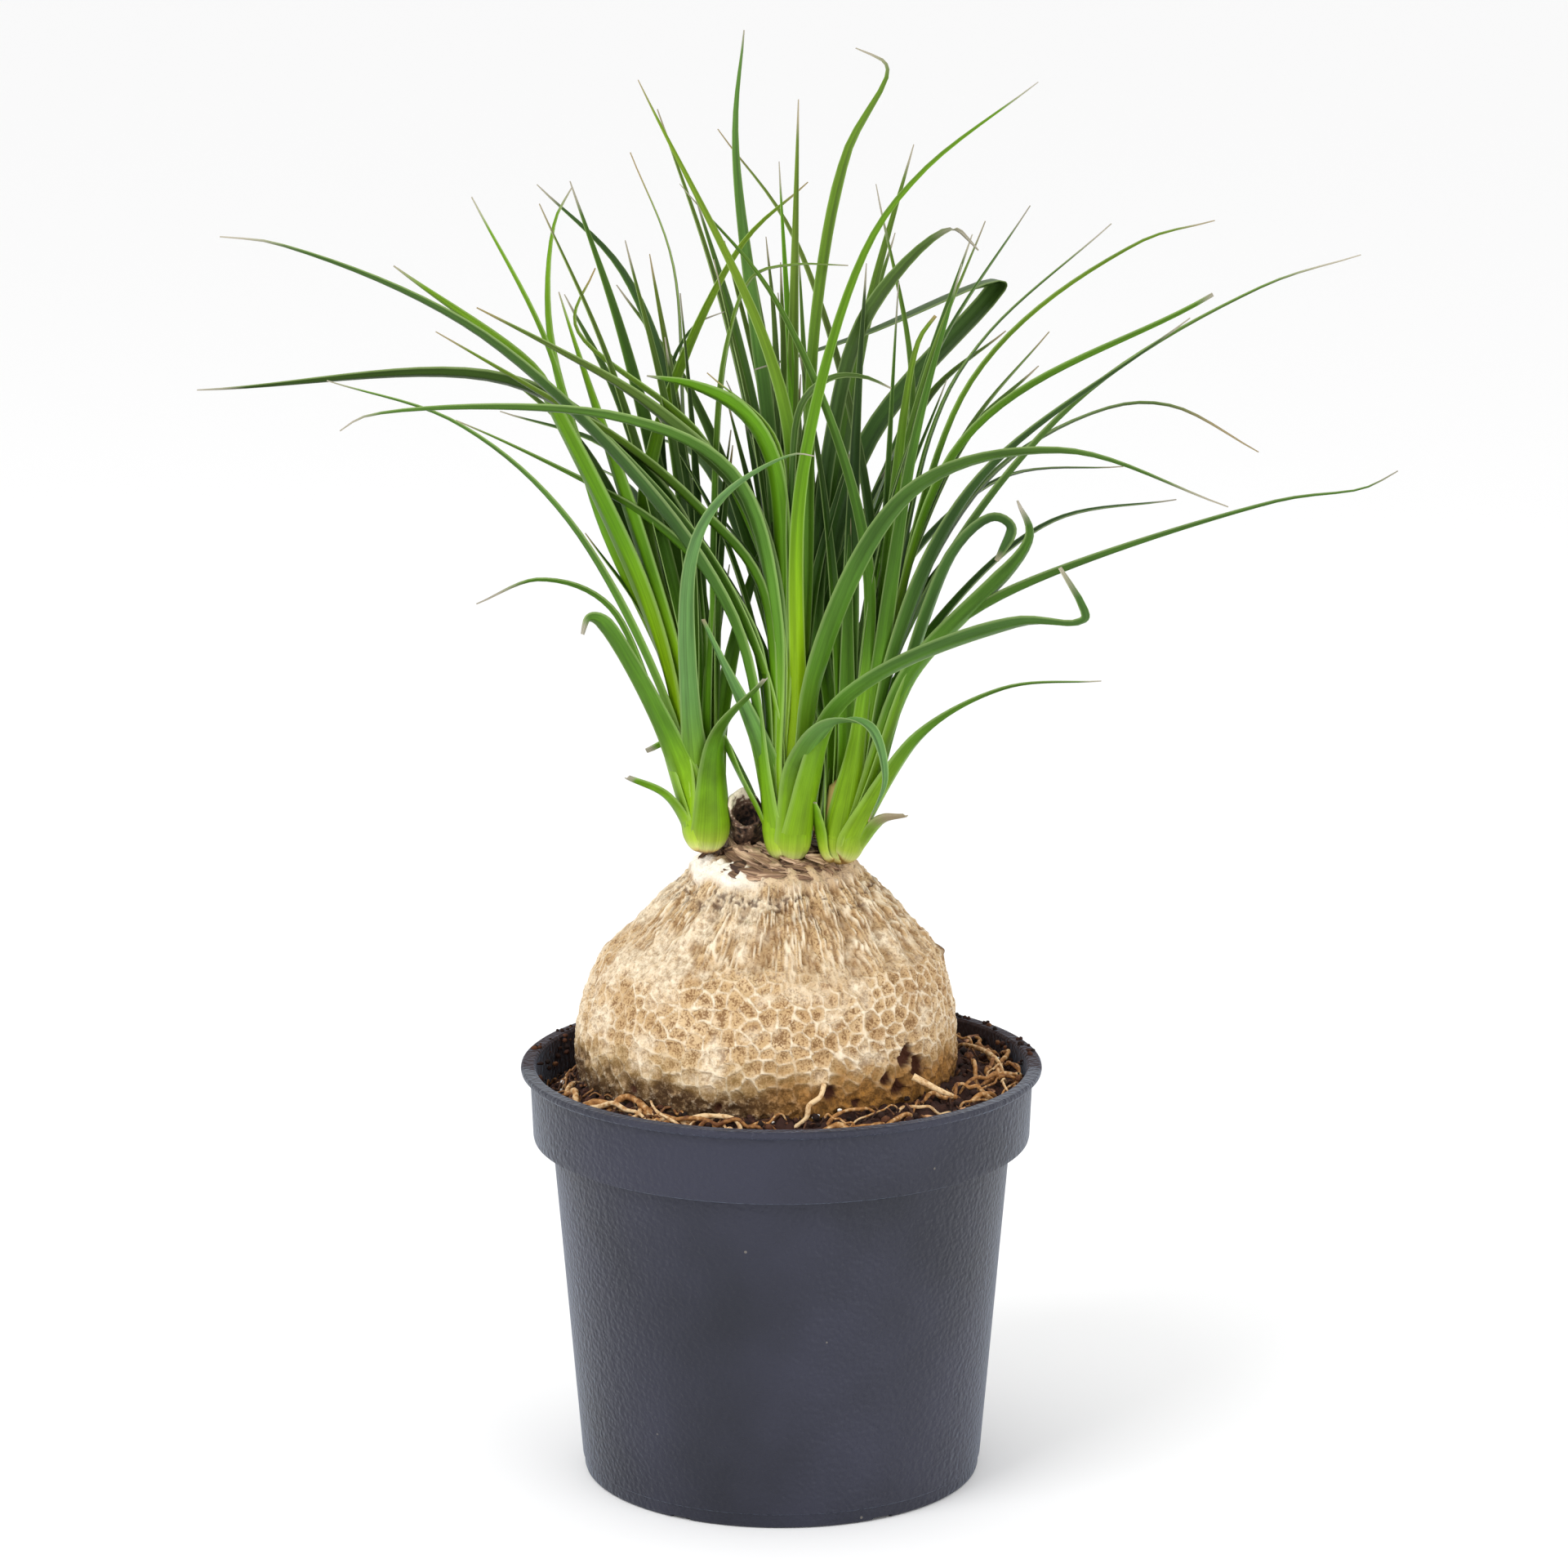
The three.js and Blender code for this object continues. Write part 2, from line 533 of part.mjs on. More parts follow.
const plant = new THREE.Group();
plant.add(piece('pot', potSolid(), '#43454c', 0.55));
plant.add(piece('soil', soilSolid(), '#3a2219', 0.95));
plant.add(piece('caudex', trunkSolid(), '#c3a478', 0.85));
for (const [name, shoot] of Object.entries(SHOOTS)) {
  const head = piece(`shoot_${name}`, shootSolid(shoot), '#568f2c', 0.45);
  head.position.fromArray(shoot.foot);
  plant.add(head);
}

export default plant;
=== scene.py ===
import math

import bpy
import numpy as np
from mathutils import Matrix, Vector, noise


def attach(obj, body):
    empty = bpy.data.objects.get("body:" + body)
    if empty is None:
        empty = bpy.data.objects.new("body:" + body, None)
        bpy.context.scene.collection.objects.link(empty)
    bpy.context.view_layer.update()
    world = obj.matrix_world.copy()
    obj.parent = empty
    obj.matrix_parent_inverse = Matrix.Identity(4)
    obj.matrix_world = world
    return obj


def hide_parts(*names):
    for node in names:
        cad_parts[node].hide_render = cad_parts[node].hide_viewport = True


bl_info = {
    "name": "Potted ponytail palm",
    "version": (1, 0, 0),
    "blender": (4, 5, 0),
    "location": "3D View > Sidebar > Palm",
    "description": "Models a ponytail palm in a nursery pot, piece by piece",
    "category": "Object",
}

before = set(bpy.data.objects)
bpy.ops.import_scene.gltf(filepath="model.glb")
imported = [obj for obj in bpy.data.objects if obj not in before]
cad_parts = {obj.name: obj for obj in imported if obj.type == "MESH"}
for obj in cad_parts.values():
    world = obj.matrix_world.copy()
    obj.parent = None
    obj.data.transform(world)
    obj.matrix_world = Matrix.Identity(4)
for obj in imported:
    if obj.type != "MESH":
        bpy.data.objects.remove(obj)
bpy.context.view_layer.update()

MM = 0.001
BODY = "root"


# ---- Helpers ----

def linear(colour):
    """An sRGB hex colour as linear red, green and blue. One from the settings is linear already."""
    if not isinstance(colour, str):
        return tuple(colour)[:3]
    channels = [int(colour[i:i + 2], 16) / 255 for i in (1, 3, 5)]
    return tuple(c / 12.92 if c <= 0.04045 else ((c + 0.055) / 1.055) ** 2.4 for c in channels)


def smooth(value, low, high):
    """0 below low, 1 above high and a soft step between them."""
    t = np.clip((np.asarray(value, float) - low) / (high - low), 0, 1)
    return t * t * (3 - 2 * t)


def mix(a, b, t):
    return a + (b - a) * t


def seeded(state):
    """A small generator of numbers from 0 to 1, the same each time."""
    def draw():
        nonlocal state
        state = (state + 0x6D2B79F5) & 0xFFFFFFFF
        t = state
        t = ((t ^ (t >> 15)) * (t | 1)) & 0xFFFFFFFF
        t ^= (t + (((t ^ (t >> 7)) * (t | 61)) & 0xFFFFFFFF)) & 0xFFFFFFFF
        return ((t ^ (t >> 14)) & 0xFFFFFFFF) / 4294967296
    return draw


def unevenness(points, scale, shift=0.0):
    """Smooth noise from about -1 to 1 at each point, with lumps of about that scale."""
    offset = Vector((shift, 2 * shift, -shift))
    return np.array([noise.noise(Vector(p) / scale + offset) for p in points])


def places(piece):
    """The piece's vertices in millimetres."""
    found = np.empty(len(piece.data.vertices) * 3)
    piece.data.vertices.foreach_get("co", found)
    return found.reshape(-1, 3) / MM


def set_places(piece, points):
    piece.data.vertices.foreach_set("co", (np.asarray(points) * MM).ravel())
    piece.data.update()


def facing(piece):
    """The direction that each vertex faces."""
    found = np.empty(len(piece.data.vertices) * 3)
    piece.data.vertex_normals.foreach_get("vector", found)
    return found.reshape(-1, 3)


def store(piece, name, values):
    """Keeps a number for each vertex, which a material then reads."""
    layer = piece.data.attributes.get(name) or piece.data.attributes.new(name, "FLOAT", "POINT")
    layer.data.foreach_set("value", np.broadcast_to(values, len(piece.data.vertices)).astype(np.float32))


def select_only(*pieces):
    bpy.ops.object.select_all(action="DESELECT")
    for piece in pieces:
        piece.select_set(True)
    bpy.context.view_layer.objects.active = pieces[0]


def fresh(add_primitive, **settings):
    """A new primitive, added with all else deselected."""
    bpy.ops.object.select_all(action="DESELECT")
    add_primitive(**settings)
    return bpy.context.object


def apply_modifier(piece, kind, **settings):
    select_only(piece)
    modifier = piece.modifiers.new(kind.title(), kind)
    for name, value in settings.items():
        setattr(modifier, name, value)
    bpy.ops.object.modifier_apply(modifier=modifier.name)


def join(name, pieces):
    """Several meshes as one object at the origin."""
    select_only(*pieces)
    bpy.ops.object.join()
    piece = bpy.context.object
    piece.name = name
    return piece


def finish_piece(piece, material, stands_for=None, angle=None):
    """Puts a modelled piece in its place in the assembly: on its body, in its finish."""
    select_only(piece)
    bpy.ops.object.transform_apply(location=True, rotation=True, scale=True)
    if angle is None:
        bpy.ops.object.shade_smooth()
    else:
        bpy.ops.object.shade_smooth_by_angle(angle=math.radians(angle))
    piece.data.materials.clear()
    piece.data.materials.append(material)
    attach(piece, BODY)
    if stands_for:
        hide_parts(stands_for)
    return piece


def turn(name, outline, steps):
    """A closed body turned from its outline in millimetres, which starts and ends on the axis."""
    piece = fresh(bpy.ops.mesh.primitive_plane_add, size=MM)
    piece.name = name
    bpy.ops.object.mode_set(mode="EDIT")
    bpy.ops.mesh.select_all(action="SELECT")
    bpy.ops.mesh.merge(type="CENTER")
    here = Vector((outline[0][0] * MM, 0, outline[0][1] * MM))
    bpy.ops.transform.translate(value=here)
    for radius, height in outline[1:]:
        there = Vector((radius * MM, 0, height * MM))
        bpy.ops.mesh.extrude_vertices_move(TRANSFORM_OT_translate={"value": there - here})
        here = there
    bpy.ops.mesh.select_all(action="SELECT")
    bpy.ops.mesh.spin(steps=steps, angle=2 * math.pi, center=(0, 0, 0), axis=(0, 0, 1))
    bpy.ops.mesh.select_all(action="SELECT")
    bpy.ops.mesh.remove_doubles(threshold=0.00001)
    bpy.ops.mesh.normals_make_consistent(inside=False)
    bpy.ops.object.mode_set(mode="OBJECT")
    return piece


def copy_of(master, matrix=Matrix()):
    """A copy of a master piece with its own mesh, placed by a matrix in millimetres."""
    copy = master.copy()
    copy.data = master.data.copy()
    copy.data.transform(Matrix.Scale(MM, 4) @ matrix)
    bpy.context.collection.objects.link(copy)
    return copy


def discard(piece):
    bpy.data.objects.remove(piece)


def midrib(points, count=260):
    """Even steps along a smooth curve through the points (a centripetal Catmull-Rom spline)."""
    points = np.asarray(points, float)
    last = len(points) - 1
    curve = []
    for step in range(count + 1):
        place = last * step / count
        i = min(int(place), last - 1)
        w = place - i
        a, b = points[i], points[i + 1]
        before = points[i - 1] if i > 0 else 2 * a - b
        after = points[i + 2] if i + 2 <= last else 2 * b - a
        d0, d1, d2 = (max(1e-6, np.linalg.norm(q - p)) ** 0.5 for p, q in ((before, a), (a, b), (b, after)))
        out = ((a - before) / d0 - (b - before) / (d0 + d1) + (b - a) / d1) * d1
        into = ((b - a) / d1 - (after - a) / (d1 + d2) + (after - b) / d2) * d1
        curve.append(a + out * w + (3 * (b - a) - 2 * out - into) * w ** 2
                     + (2 * (a - b) + out + into) * w ** 3)
    return np.array(curve)


def rings_along(curve, side, count, bend_detail=8.0, extra=None):
    """Places, directions and crosswise directions of rings along a curve, closer in its bends."""
    steps = np.linalg.norm(np.diff(curve, axis=0), axis=1)
    along = np.r_[0, np.cumsum(steps)]
    headings = np.gradient(curve, along, axis=0)
    headings /= np.linalg.norm(headings, axis=1)[:, None]
    bend = np.linalg.norm(np.gradient(headings, along, axis=0), axis=1)
    density = 1 + bend_detail * bend + (0 if extra is None else extra(along))
    share = np.r_[0, np.cumsum(steps * (density[1:] + density[:-1]) / 2)]
    at = np.interp(np.linspace(0, share[-1], count), share, along)
    place = np.stack([np.interp(at, along, curve[:, k]) for k in range(3)], 1)
    ahead = np.stack([np.interp(at, along, headings[:, k]) for k in range(3)], 1)
    ahead /= np.linalg.norm(ahead, axis=1)[:, None]
    across = side - (ahead @ side)[:, None] * ahead
    across /= np.linalg.norm(across, axis=1)[:, None]
    return at, place, ahead, across


def turned_about(vectors, axes, angles):
    """Each vector turned about its own axis, which it is square to."""
    return vectors * np.cos(angles)[:, None] + np.cross(axes, vectors) * np.sin(angles)[:, None]


# ---- Materials ----

def add_node(tree, kind, inputs=None, out=0, ramp=None, **settings):
    """Adds a shader node with its settings, its links and values, and gives back one of its outputs."""
    node = tree.nodes.new("ShaderNode" + kind)
    for name, value in settings.items():
        setattr(node, name, value)
    for socket, value in (inputs or {}).items():
        if isinstance(value, bpy.types.NodeSocket):
            tree.links.new(value, node.inputs[socket])
        elif node.inputs[socket].type == "RGBA":
            node.inputs[socket].default_value = (*linear(value), 1)
        else:
            node.inputs[socket].default_value = value
    for i, (position, tone) in enumerate(ramp or []):
        stops = node.color_ramp.elements
        stop = stops[i] if i < 2 else stops.new(position)
        stop.position = position
        stop.color = (*linear(tone), 1)
    return node.outputs[out]


def start_material(name, **values):
    """A new material and its node tree, with the numbers that are the same all over on its shader."""
    material = bpy.data.materials.new(name)
    material.use_nodes = True
    shader = material.node_tree.nodes["Principled BSDF"]
    for socket, value in values.items():
        shader.inputs[socket.replace("_", " ")].default_value = value
    return material, material.node_tree


def finish_material(material, base, height, strength, depth, roughness=None):
    """Gives the shader its colour, its relief (how strong, and how deep in metres) and its roughness."""
    tree = material.node_tree
    bump = add_node(tree, "Bump", {"Height": height, "Strength": strength, "Distance": depth})
    for socket, value in (("Base Color", base), ("Normal", bump), ("Roughness", roughness)):
        if value is not None:
            tree.links.new(value, tree.nodes["Principled BSDF"].inputs[socket])
    return material


def moulded_plastic(settings):
    """Injection-moulded polypropylene, black-grey: satin, with the fine leather grain of its mould."""
    material, tree = start_material(
        "moulded polypropylene", IOR=1.46, Sheen_Weight=0.3, Sheen_Roughness=0.3,
        Sheen_Tint=(0.6, 0.75, 1, 1), Specular_Tint=(0.86, 0.9, 1, 1))
    position = add_node(tree, "TexCoord", out="Object")
    cloud = add_node(tree, "TexNoise", {"Vector": position, "Scale": 22.0, "Detail": 3.0})
    broad = add_node(tree, "MapRange", {"Value": cloud, "From Min": 0.35, "From Max": 0.65})
    # Pale specks of dust, under half a millimetre.
    specks = add_node(tree, "TexVoronoi", {"Vector": position, "Scale": 210.0, "Randomness": 1.0})
    near = add_node(tree, "Math", {0: specks, 1: 0.07}, operation="LESS_THAN")
    chance = add_node(tree, "TexNoise", {"Vector": position, "Scale": 60.0})
    rare = add_node(tree, "Math", {0: chance, 1: 0.6}, operation="GREATER_THAN")
    dust = add_node(tree, "Math", {0: near, 1: rare}, operation="MULTIPLY")
    faint = add_node(tree, "Math", {0: dust, 1: 0.45}, operation="MULTIPLY")
    # Dull peat smeared on the inside and on the back of the lip, in blots of some 2 mm.
    soiled = add_node(tree, "Attribute", out="Fac", attribute_name="soiled")
    smears = add_node(tree, "TexNoise", {"Vector": position, "Scale": 420.0, "Detail": 4.0, "Roughness": 0.7})
    cover = add_node(tree, "Math", {0: soiled, 1: smears}, operation="ADD")
    earthy = add_node(tree, "MapRange", {"Value": cover, "From Min": 1.25, "From Max": 1.4})
    base = "#15151f"
    for share, over in ((broad, settings.colour), (faint, "#8d8578"), (earthy, "#2a1308")):
        base = add_node(tree, "Mix", {"Factor": share, 6: base, 7: over}, out=2, data_type="RGBA")
    gloss = add_node(tree, "MapRange", {"Value": cloud, "To Min": 0.36, "To Max": 0.5})
    dull = add_node(tree, "Mix", {"Factor": earthy, 2: gloss, 3: 0.9})
    # Crinkles of about 1.5 mm, coarser than the mould's own grain, so that they show from a step away.
    crinkle = add_node(tree, "TexNoise", {"Vector": position, "Scale": 650.0, "Detail": 3.0,
                                          "Roughness": 0.6, "Distortion": 0.8})
    grain = add_node(tree, "TexVoronoi", {"Vector": position, "Scale": 900.0}, feature="SMOOTH_F1")
    height = add_node(tree, "Math", {0: crinkle, 1: grain}, operation="ADD")
    return finish_material(material, base, height, 1.0, 0.00028, dull)


def corky_bark(settings):
    """Living cork: dull tan plates, speckled brown, in a net of pale ridges; stained by the soil."""
    material, tree = start_material("corky bark", IOR=1.4, Roughness=0.85)
    position = add_node(tree, "TexCoord", out="Object")
    read = {name: add_node(tree, "Attribute", out="Fac", attribute_name=name) for name in (
        "border", "net", "crest", "furrow", "stain", "rust", "scar", "ledge", "bleached", "litter")}
    # Mottling over 8 mm, crumbs of 1.5 mm and specks of 0.4 mm.
    broad = add_node(tree, "TexNoise", {"Vector": position, "Scale": 120.0, "Detail": 4.0, "Roughness": 0.6})
    crumbs = add_node(tree, "TexNoise", {"Vector": position, "Scale": 650.0, "Detail": 4.0, "Roughness": 0.7})
    specks = add_node(tree, "TexNoise", {"Vector": position, "Scale": 2200.0, "Detail": 2.0})
    plates = add_node(tree, "ValToRGB", {"Fac": broad}, ramp=[
        (0.35, "#b8966b"), (0.5, settings.plate_colour), (0.66, "#d6ba92")])
    core = add_node(tree, "MapRange", {"Value": read["border"], "From Min": 0.8, "From Max": 3.0,
                                       "To Max": 0.24})
    cored = add_node(tree, "Math", {0: core, 1: read["net"]}, operation="MULTIPLY")
    grain = add_node(tree, "Math", {0: crumbs, 1: specks}, operation="ADD")
    mottle = add_node(tree, "Math", {0: grain, 1: cored}, operation="ADD")
    brown = add_node(tree, "MapRange", {"Value": mottle, "From Min": 1.0, "From Max": 1.22, "To Max": 0.9})
    # Pale ridges with frayed edges, pale crests of wrinkles, and chalky patches, partly the cork's own and
    # partly painted light, more of them on the left.
    fray = add_node(tree, "Math", {0: crumbs, 1: 1.3, 2: read["border"]}, operation="MULTIPLY_ADD")
    line = add_node(tree, "MapRange", {"Value": fray, "From Min": 0.6, "From Max": 1.45, "To Min": 1.0,
                                       "To Max": 0.0}, interpolation_type="SMOOTHSTEP")
    ridge = add_node(tree, "Math", {0: line, 1: read["net"]}, operation="MULTIPLY")
    raised = add_node(tree, "Math", {0: ridge, 1: read["crest"]}, operation="MAXIMUM")
    chalk = add_node(tree, "MapRange", {"Value": crumbs, "From Min": 0.36, "From Max": 0.6, "To Min": 1.0,
                                        "To Max": 0.3})
    chalked_and_lit = add_node(tree, "Math", {0: read["bleached"], 1: chalk}, operation="MULTIPLY")
    pale = add_node(tree, "Math", {0: raised, 1: chalked_and_lit}, operation="MAXIMUM")
    # Soil rubbed in at the foot, rusty at one side.
    patchy = add_node(tree, "MapRange", {"Value": crumbs, "From Min": 0.35, "From Max": 0.62, "To Min": 0.5,
                                         "To Max": 1.3})
    dirt = add_node(tree, "Math", {0: read["stain"], 1: patchy}, operation="MULTIPLY", use_clamp=True)
    earth = add_node(tree, "ValToRGB", {"Fac": read["stain"]}, ramp=[
        (0.1, "#b39560"), (0.5, "#8f7340"), (0.8, "#6b5029"), (1.0, "#4a3218")])
    rusty = add_node(tree, "Math", {0: read["rust"], 1: chalk}, operation="MULTIPLY")
    base = plates
    # The ledge's pale colour is a painted highlight.
    for share, over in ((brown, "#7c5833"), (read["furrow"], "#83603b"), (pale, settings.ridge_colour),
                        (read["ledge"], "#f6eee0"), (dirt, earth), (rusty, "#a8742f"),
                        (read["litter"], "#6f5442"), (read["scar"], "#45220e")):
        base = add_node(tree, "Mix", {"Factor": share, 6: base, 7: over}, out=2, data_type="RGBA")
    height = add_node(tree, "Math", {0: grain, 1: ridge}, operation="ADD")
    return finish_material(material, base, height, 0.75, 0.0004)


def leaf_skin(settings):
    """Waxy leaf skin: satin, with fine parallel veins; young lime, older dark, and dark as painted shade in
    the thick of a shoot; some with blue bloom. The two halves of each fold carry painted shade and a painted
    highlight, and the edges carry a painted highlight.
    """
    material, tree = start_material("waxy leaf skin", IOR=1.36, Roughness=0.38, Specular_IOR_Level=0.22)
    read = {name: add_node(tree, "Attribute", out="Fac", attribute_name=name) for name in LEAF_READINGS}
    flat = add_node(tree, "TexCoord", out="UV")
    apart = add_node(tree, "CombineXYZ", {axis: read["own"] for axis in "XYZ"})
    moved = add_node(tree, "VectorMath", {0: flat, 1: apart}, operation="ADD")
    # Some 20 veins across a blade of 5 mm, running its length, and slow clouds over it.
    lined = add_node(tree, "Mapping", {"Vector": moved, "Scale": (40.0, 0.9, 7.0)})
    veins = add_node(tree, "TexNoise", {"Vector": lined, "Scale": 1.0, "Detail": 2.0})
    drift = add_node(tree, "Mapping", {"Vector": moved, "Scale": (2.0, 6.0, 3.0)})
    clouds = add_node(tree, "TexNoise", {"Vector": drift, "Scale": 1.5, "Detail": 3.0})
    shade = add_node(tree, "MapRange", {"Value": clouds, "From Min": 0.3, "From Max": 0.7, "To Min": 0.75,
                                        "To Max": 1.25})
    green = add_node(tree, "ValToRGB", {"Fac": read["age"]}, ramp=[
        (0.0, settings.young), (0.5, settings.grown), (1.0, settings.old)])
    chance = add_node(tree, "Math", {0: read["own"]}, operation="FRACT")
    sunned = add_node(tree, "Math", {0: chance, 1: read["sun"]}, operation="MULTIPLY")
    # Pale edges: a painted highlight along each blade's margins.
    rim = add_node(tree, "Math", {0: read["edge"], 1: 0.38}, operation="MULTIPLY")
    # Paler to its foot, which ends in a thin brown rim.
    clasping = add_node(tree, "ValToRGB", {"Fac": read["foot"]}, ramp=[
        (0.0, "#587f12"), (0.45, "#85a51f"), (0.62, "#a9ba42"), (0.76, "#cdcf82"), (0.83, "#c9b071"),
        (0.89, "#8a5a34")])
    fade = add_node(tree, "MapRange", {"Value": read["foot"], "From Max": 0.8, "To Max": 0.85})
    # Veins, and painted light along the middle fold: one half of the blade is painted darker as painted
    # shade, and the other lighter as a painted highlight.
    stripe = add_node(tree, "MapRange", {"Value": veins, "From Min": 0.35, "From Max": 0.65, "To Min": 0.88,
                                         "To Max": 1.12})
    painted_fold_light = add_node(tree, "MapRange", {"Value": read["half"], "From Min": -0.12, "From Max": 0.12,
                                       "To Min": 0.87, "To Max": 1.13})
    veins_and_fold_light = add_node(tree, "Math", {0: stripe, 1: painted_fold_light}, operation="MULTIPLY")
    # Dried tips, grey or now and then tan.
    straw = add_node(tree, "ValToRGB", {"Fac": veins}, ramp=[
        (0.3, "#6f685a"), (0.5, "#9a9484"), (0.7, "#c8c2b0")])
    warm = add_node(tree, "Math", {0: chance, 1: 3.0}, operation="POWER")
    tan = add_node(tree, "Mix", {"Factor": warm, 6: straw, 7: "#958255"}, out=2, data_type="RGBA")
    base = green
    for share, over in ((sunned, "#86922a"), (read["bloom"], settings.bloom), (shade, None),
                        (rim, "#a9c07c"), (fade, clasping), (veins_and_fold_light, None), (read["dry"], tan)):
        if over is None:  # brighter or darker
            base = add_node(tree, "VectorMath", {0: base, "Scale": share}, operation="SCALE")
        else:
            base = add_node(tree, "Mix", {"Factor": share, 6: base, 7: over}, out=2, data_type="RGBA")
    gloss = add_node(tree, "MapRange", {"Value": veins, "To Min": 0.32, "To Max": 0.5})
    return finish_material(material, base, veins, 0.2, 0.0002, gloss)


def moist_peat(settings):
    """Moist peat: dark red-brown crumbs and fibres, dull, with the odd lighter bit."""
    material, tree = start_material("moist peat", IOR=1.4, Roughness=0.9)
    position = add_node(tree, "TexCoord", out="Object")
    own = add_node(tree, "Attribute", out="Fac", attribute_name="own")
    # Bits of 1.5 mm.
    bits = add_node(tree, "TexNoise", {"Vector": position, "Scale": 700.0, "Detail": 4.0, "Roughness": 0.7})
    either = add_node(tree, "Math", {0: bits, 1: own}, operation="ADD")
    half = add_node(tree, "Math", {0: either, 1: 0.5}, operation="MULTIPLY")
    base = add_node(tree, "ValToRGB", {"Fac": half}, ramp=[
        (0.25, "#1b0f0b"), (0.5, settings.colour), (0.68, "#5d3823"), (0.8, "#8a5f3c")])
    return finish_material(material, base, bits, 0.8, 0.0006)


def dry_fibre(name, tones, lengthwise=False):
    """Dry plant fibre, such as roots, bark chips and papery leaf bases: dull, streaked, tan to brown."""
    material, tree = start_material(name, IOR=1.45, Roughness=0.75)
    own = add_node(tree, "Attribute", out="Fac", attribute_name="own")
    # Streaks of about 1 mm, or some six side by side along a strip.
    if lengthwise:
        flat = add_node(tree, "TexCoord", out="UV")
        apart = add_node(tree, "CombineXYZ", {"Z": own})
        moved = add_node(tree, "VectorMath", {0: flat, 1: apart}, operation="ADD")
        vector = add_node(tree, "Mapping", {"Vector": moved, "Scale": (7.0, 1.2, 40.0)})
    else:
        vector = add_node(tree, "TexCoord", out="Object")
    streaks = add_node(tree, "TexNoise", {"Vector": vector, "Scale": 1.0 if lengthwise else 900.0,
                                          "Detail": 3.0})
    strong = add_node(tree, "MapRange", {"Value": streaks, "From Min": 0.3, "From Max": 0.7})
    blend = add_node(tree, "Mix", {"Factor": 0.45, 2: own, 3: strong})
    base = add_node(tree, "ValToRGB", {"Fac": blend}, ramp=list(zip((0.2, 0.5, 0.75), tones)))
    return finish_material(material, base, streaks, 0.6, 0.0003)


def studio_white(settings):
    """Matt white studio paper."""
    return start_material("matt white paper", Roughness=0.9, Base_Color=(*settings.floor_colour, 1))[0]


# ---- Settings ----

FLOAT, INT = bpy.props.FloatProperty, bpy.props.IntProperty


def length(name, text, default):
    return FLOAT(name=name, description=text, default=default, min=0,
                 unit="LENGTH", subtype="DISTANCE", precision=4)


def tint(name, text, default):
    return bpy.props.FloatVectorProperty(name=name, description=text, default=linear(default),
                                         size=3, min=0, max=1, subtype="COLOR")


def amount(name, text, default, kind=INT):
    return kind(name=name, description=text, default=default, min=0)


class PotSettings(bpy.types.PropertyGroup):
    height: length("Height", "From the surface that the pot stands on to its lip", 0.0968)
    lip_radius: length("Lip radius", "The widest place of the pot", 0.060)
    collar_radius: length("Collar radius", "Outer radius of the collar under the lip", 0.0579)
    collar_bottom: length("Collar bottom", "Height of the collar's lower edge", 0.0795)
    body_radius: length("Body radius", "Outer radius of the body just under the collar", 0.0529)
    foot_radius: length("Foot radius", "Outer radius of the foot band", 0.046)
    wall: length("Wall", "Thickness of the wall", 0.0013)
    colour: tint("Colour", "The plastic's lighter tint", "#282836")


class TrunkSettings(bpy.types.PropertyGroup):
    plate_width: length("Plate width", "Usual width of a plate between the net's ridges", 0.0037)
    ridge_height: length("Ridge height", "How far the net's ridges stand out", 0.0006)
    wrinkle_height: length("Wrinkle height", "Half of the wrinkles' height on the shoulder", 0.0006)
    plate_colour: tint("Plate colour", "The cork between the ridges", "#c4a478")
    ridge_colour: tint("Ridge colour", "The net of raised ridges", "#efdfc4")


class SoilSettings(bpy.types.PropertyGroup):
    edge_height: length("Edge height", "Height of the soil at the pot's wall", 0.0925)
    rise: length("Rise", "How far the soil is mounded round the trunk", 0.0032)
    crumbs: amount("Crumbs", "Loose crumbs on the soil", 760)
    roots: amount("Roots", "Stringy roots on the soil", 84)
    colour: tint("Colour", "The soil's middle tone", "#3a2018")


class LeafSettings(bpy.types.PropertyGroup):
    thickness: length("Thickness", "Of a leaf near its middle", 0.00045)
    young: tint("Young leaf", "An inner leaf's green", "#8fb414")
    grown: tint("Grown leaf", "The usual green", "#507c10")
    old: tint("Old leaf", "An outer leaf's green", "#132c08")
    bloom: tint("Bloom", "The blue-grey bloom on some leaves", "#628a50")


class StageSettings(bpy.types.PropertyGroup):
    floor_colour: tint("Floor colour", "The studio's floor", "#fbfbfb")
    front: amount("Front", "How bright the room is behind the camera", 0.8, FLOAT)
    key: amount("Key light", "Watts of the key light", 8.5, FLOAT)
    fill: amount("Fill light", "Watts of the fill light", 4.5, FLOAT)


# ---- Pot ----

POT_SIDES = 160
POT_FLOOR = 1.6  # its thickness
DRAIN_HOLES = 6
DRAIN_HOLE_RADIUS = 4
DRAIN_CIRCLE = 33
DRAIN_GROOVE = (16, 5, 1.4)  # its length, its width and twice its depth


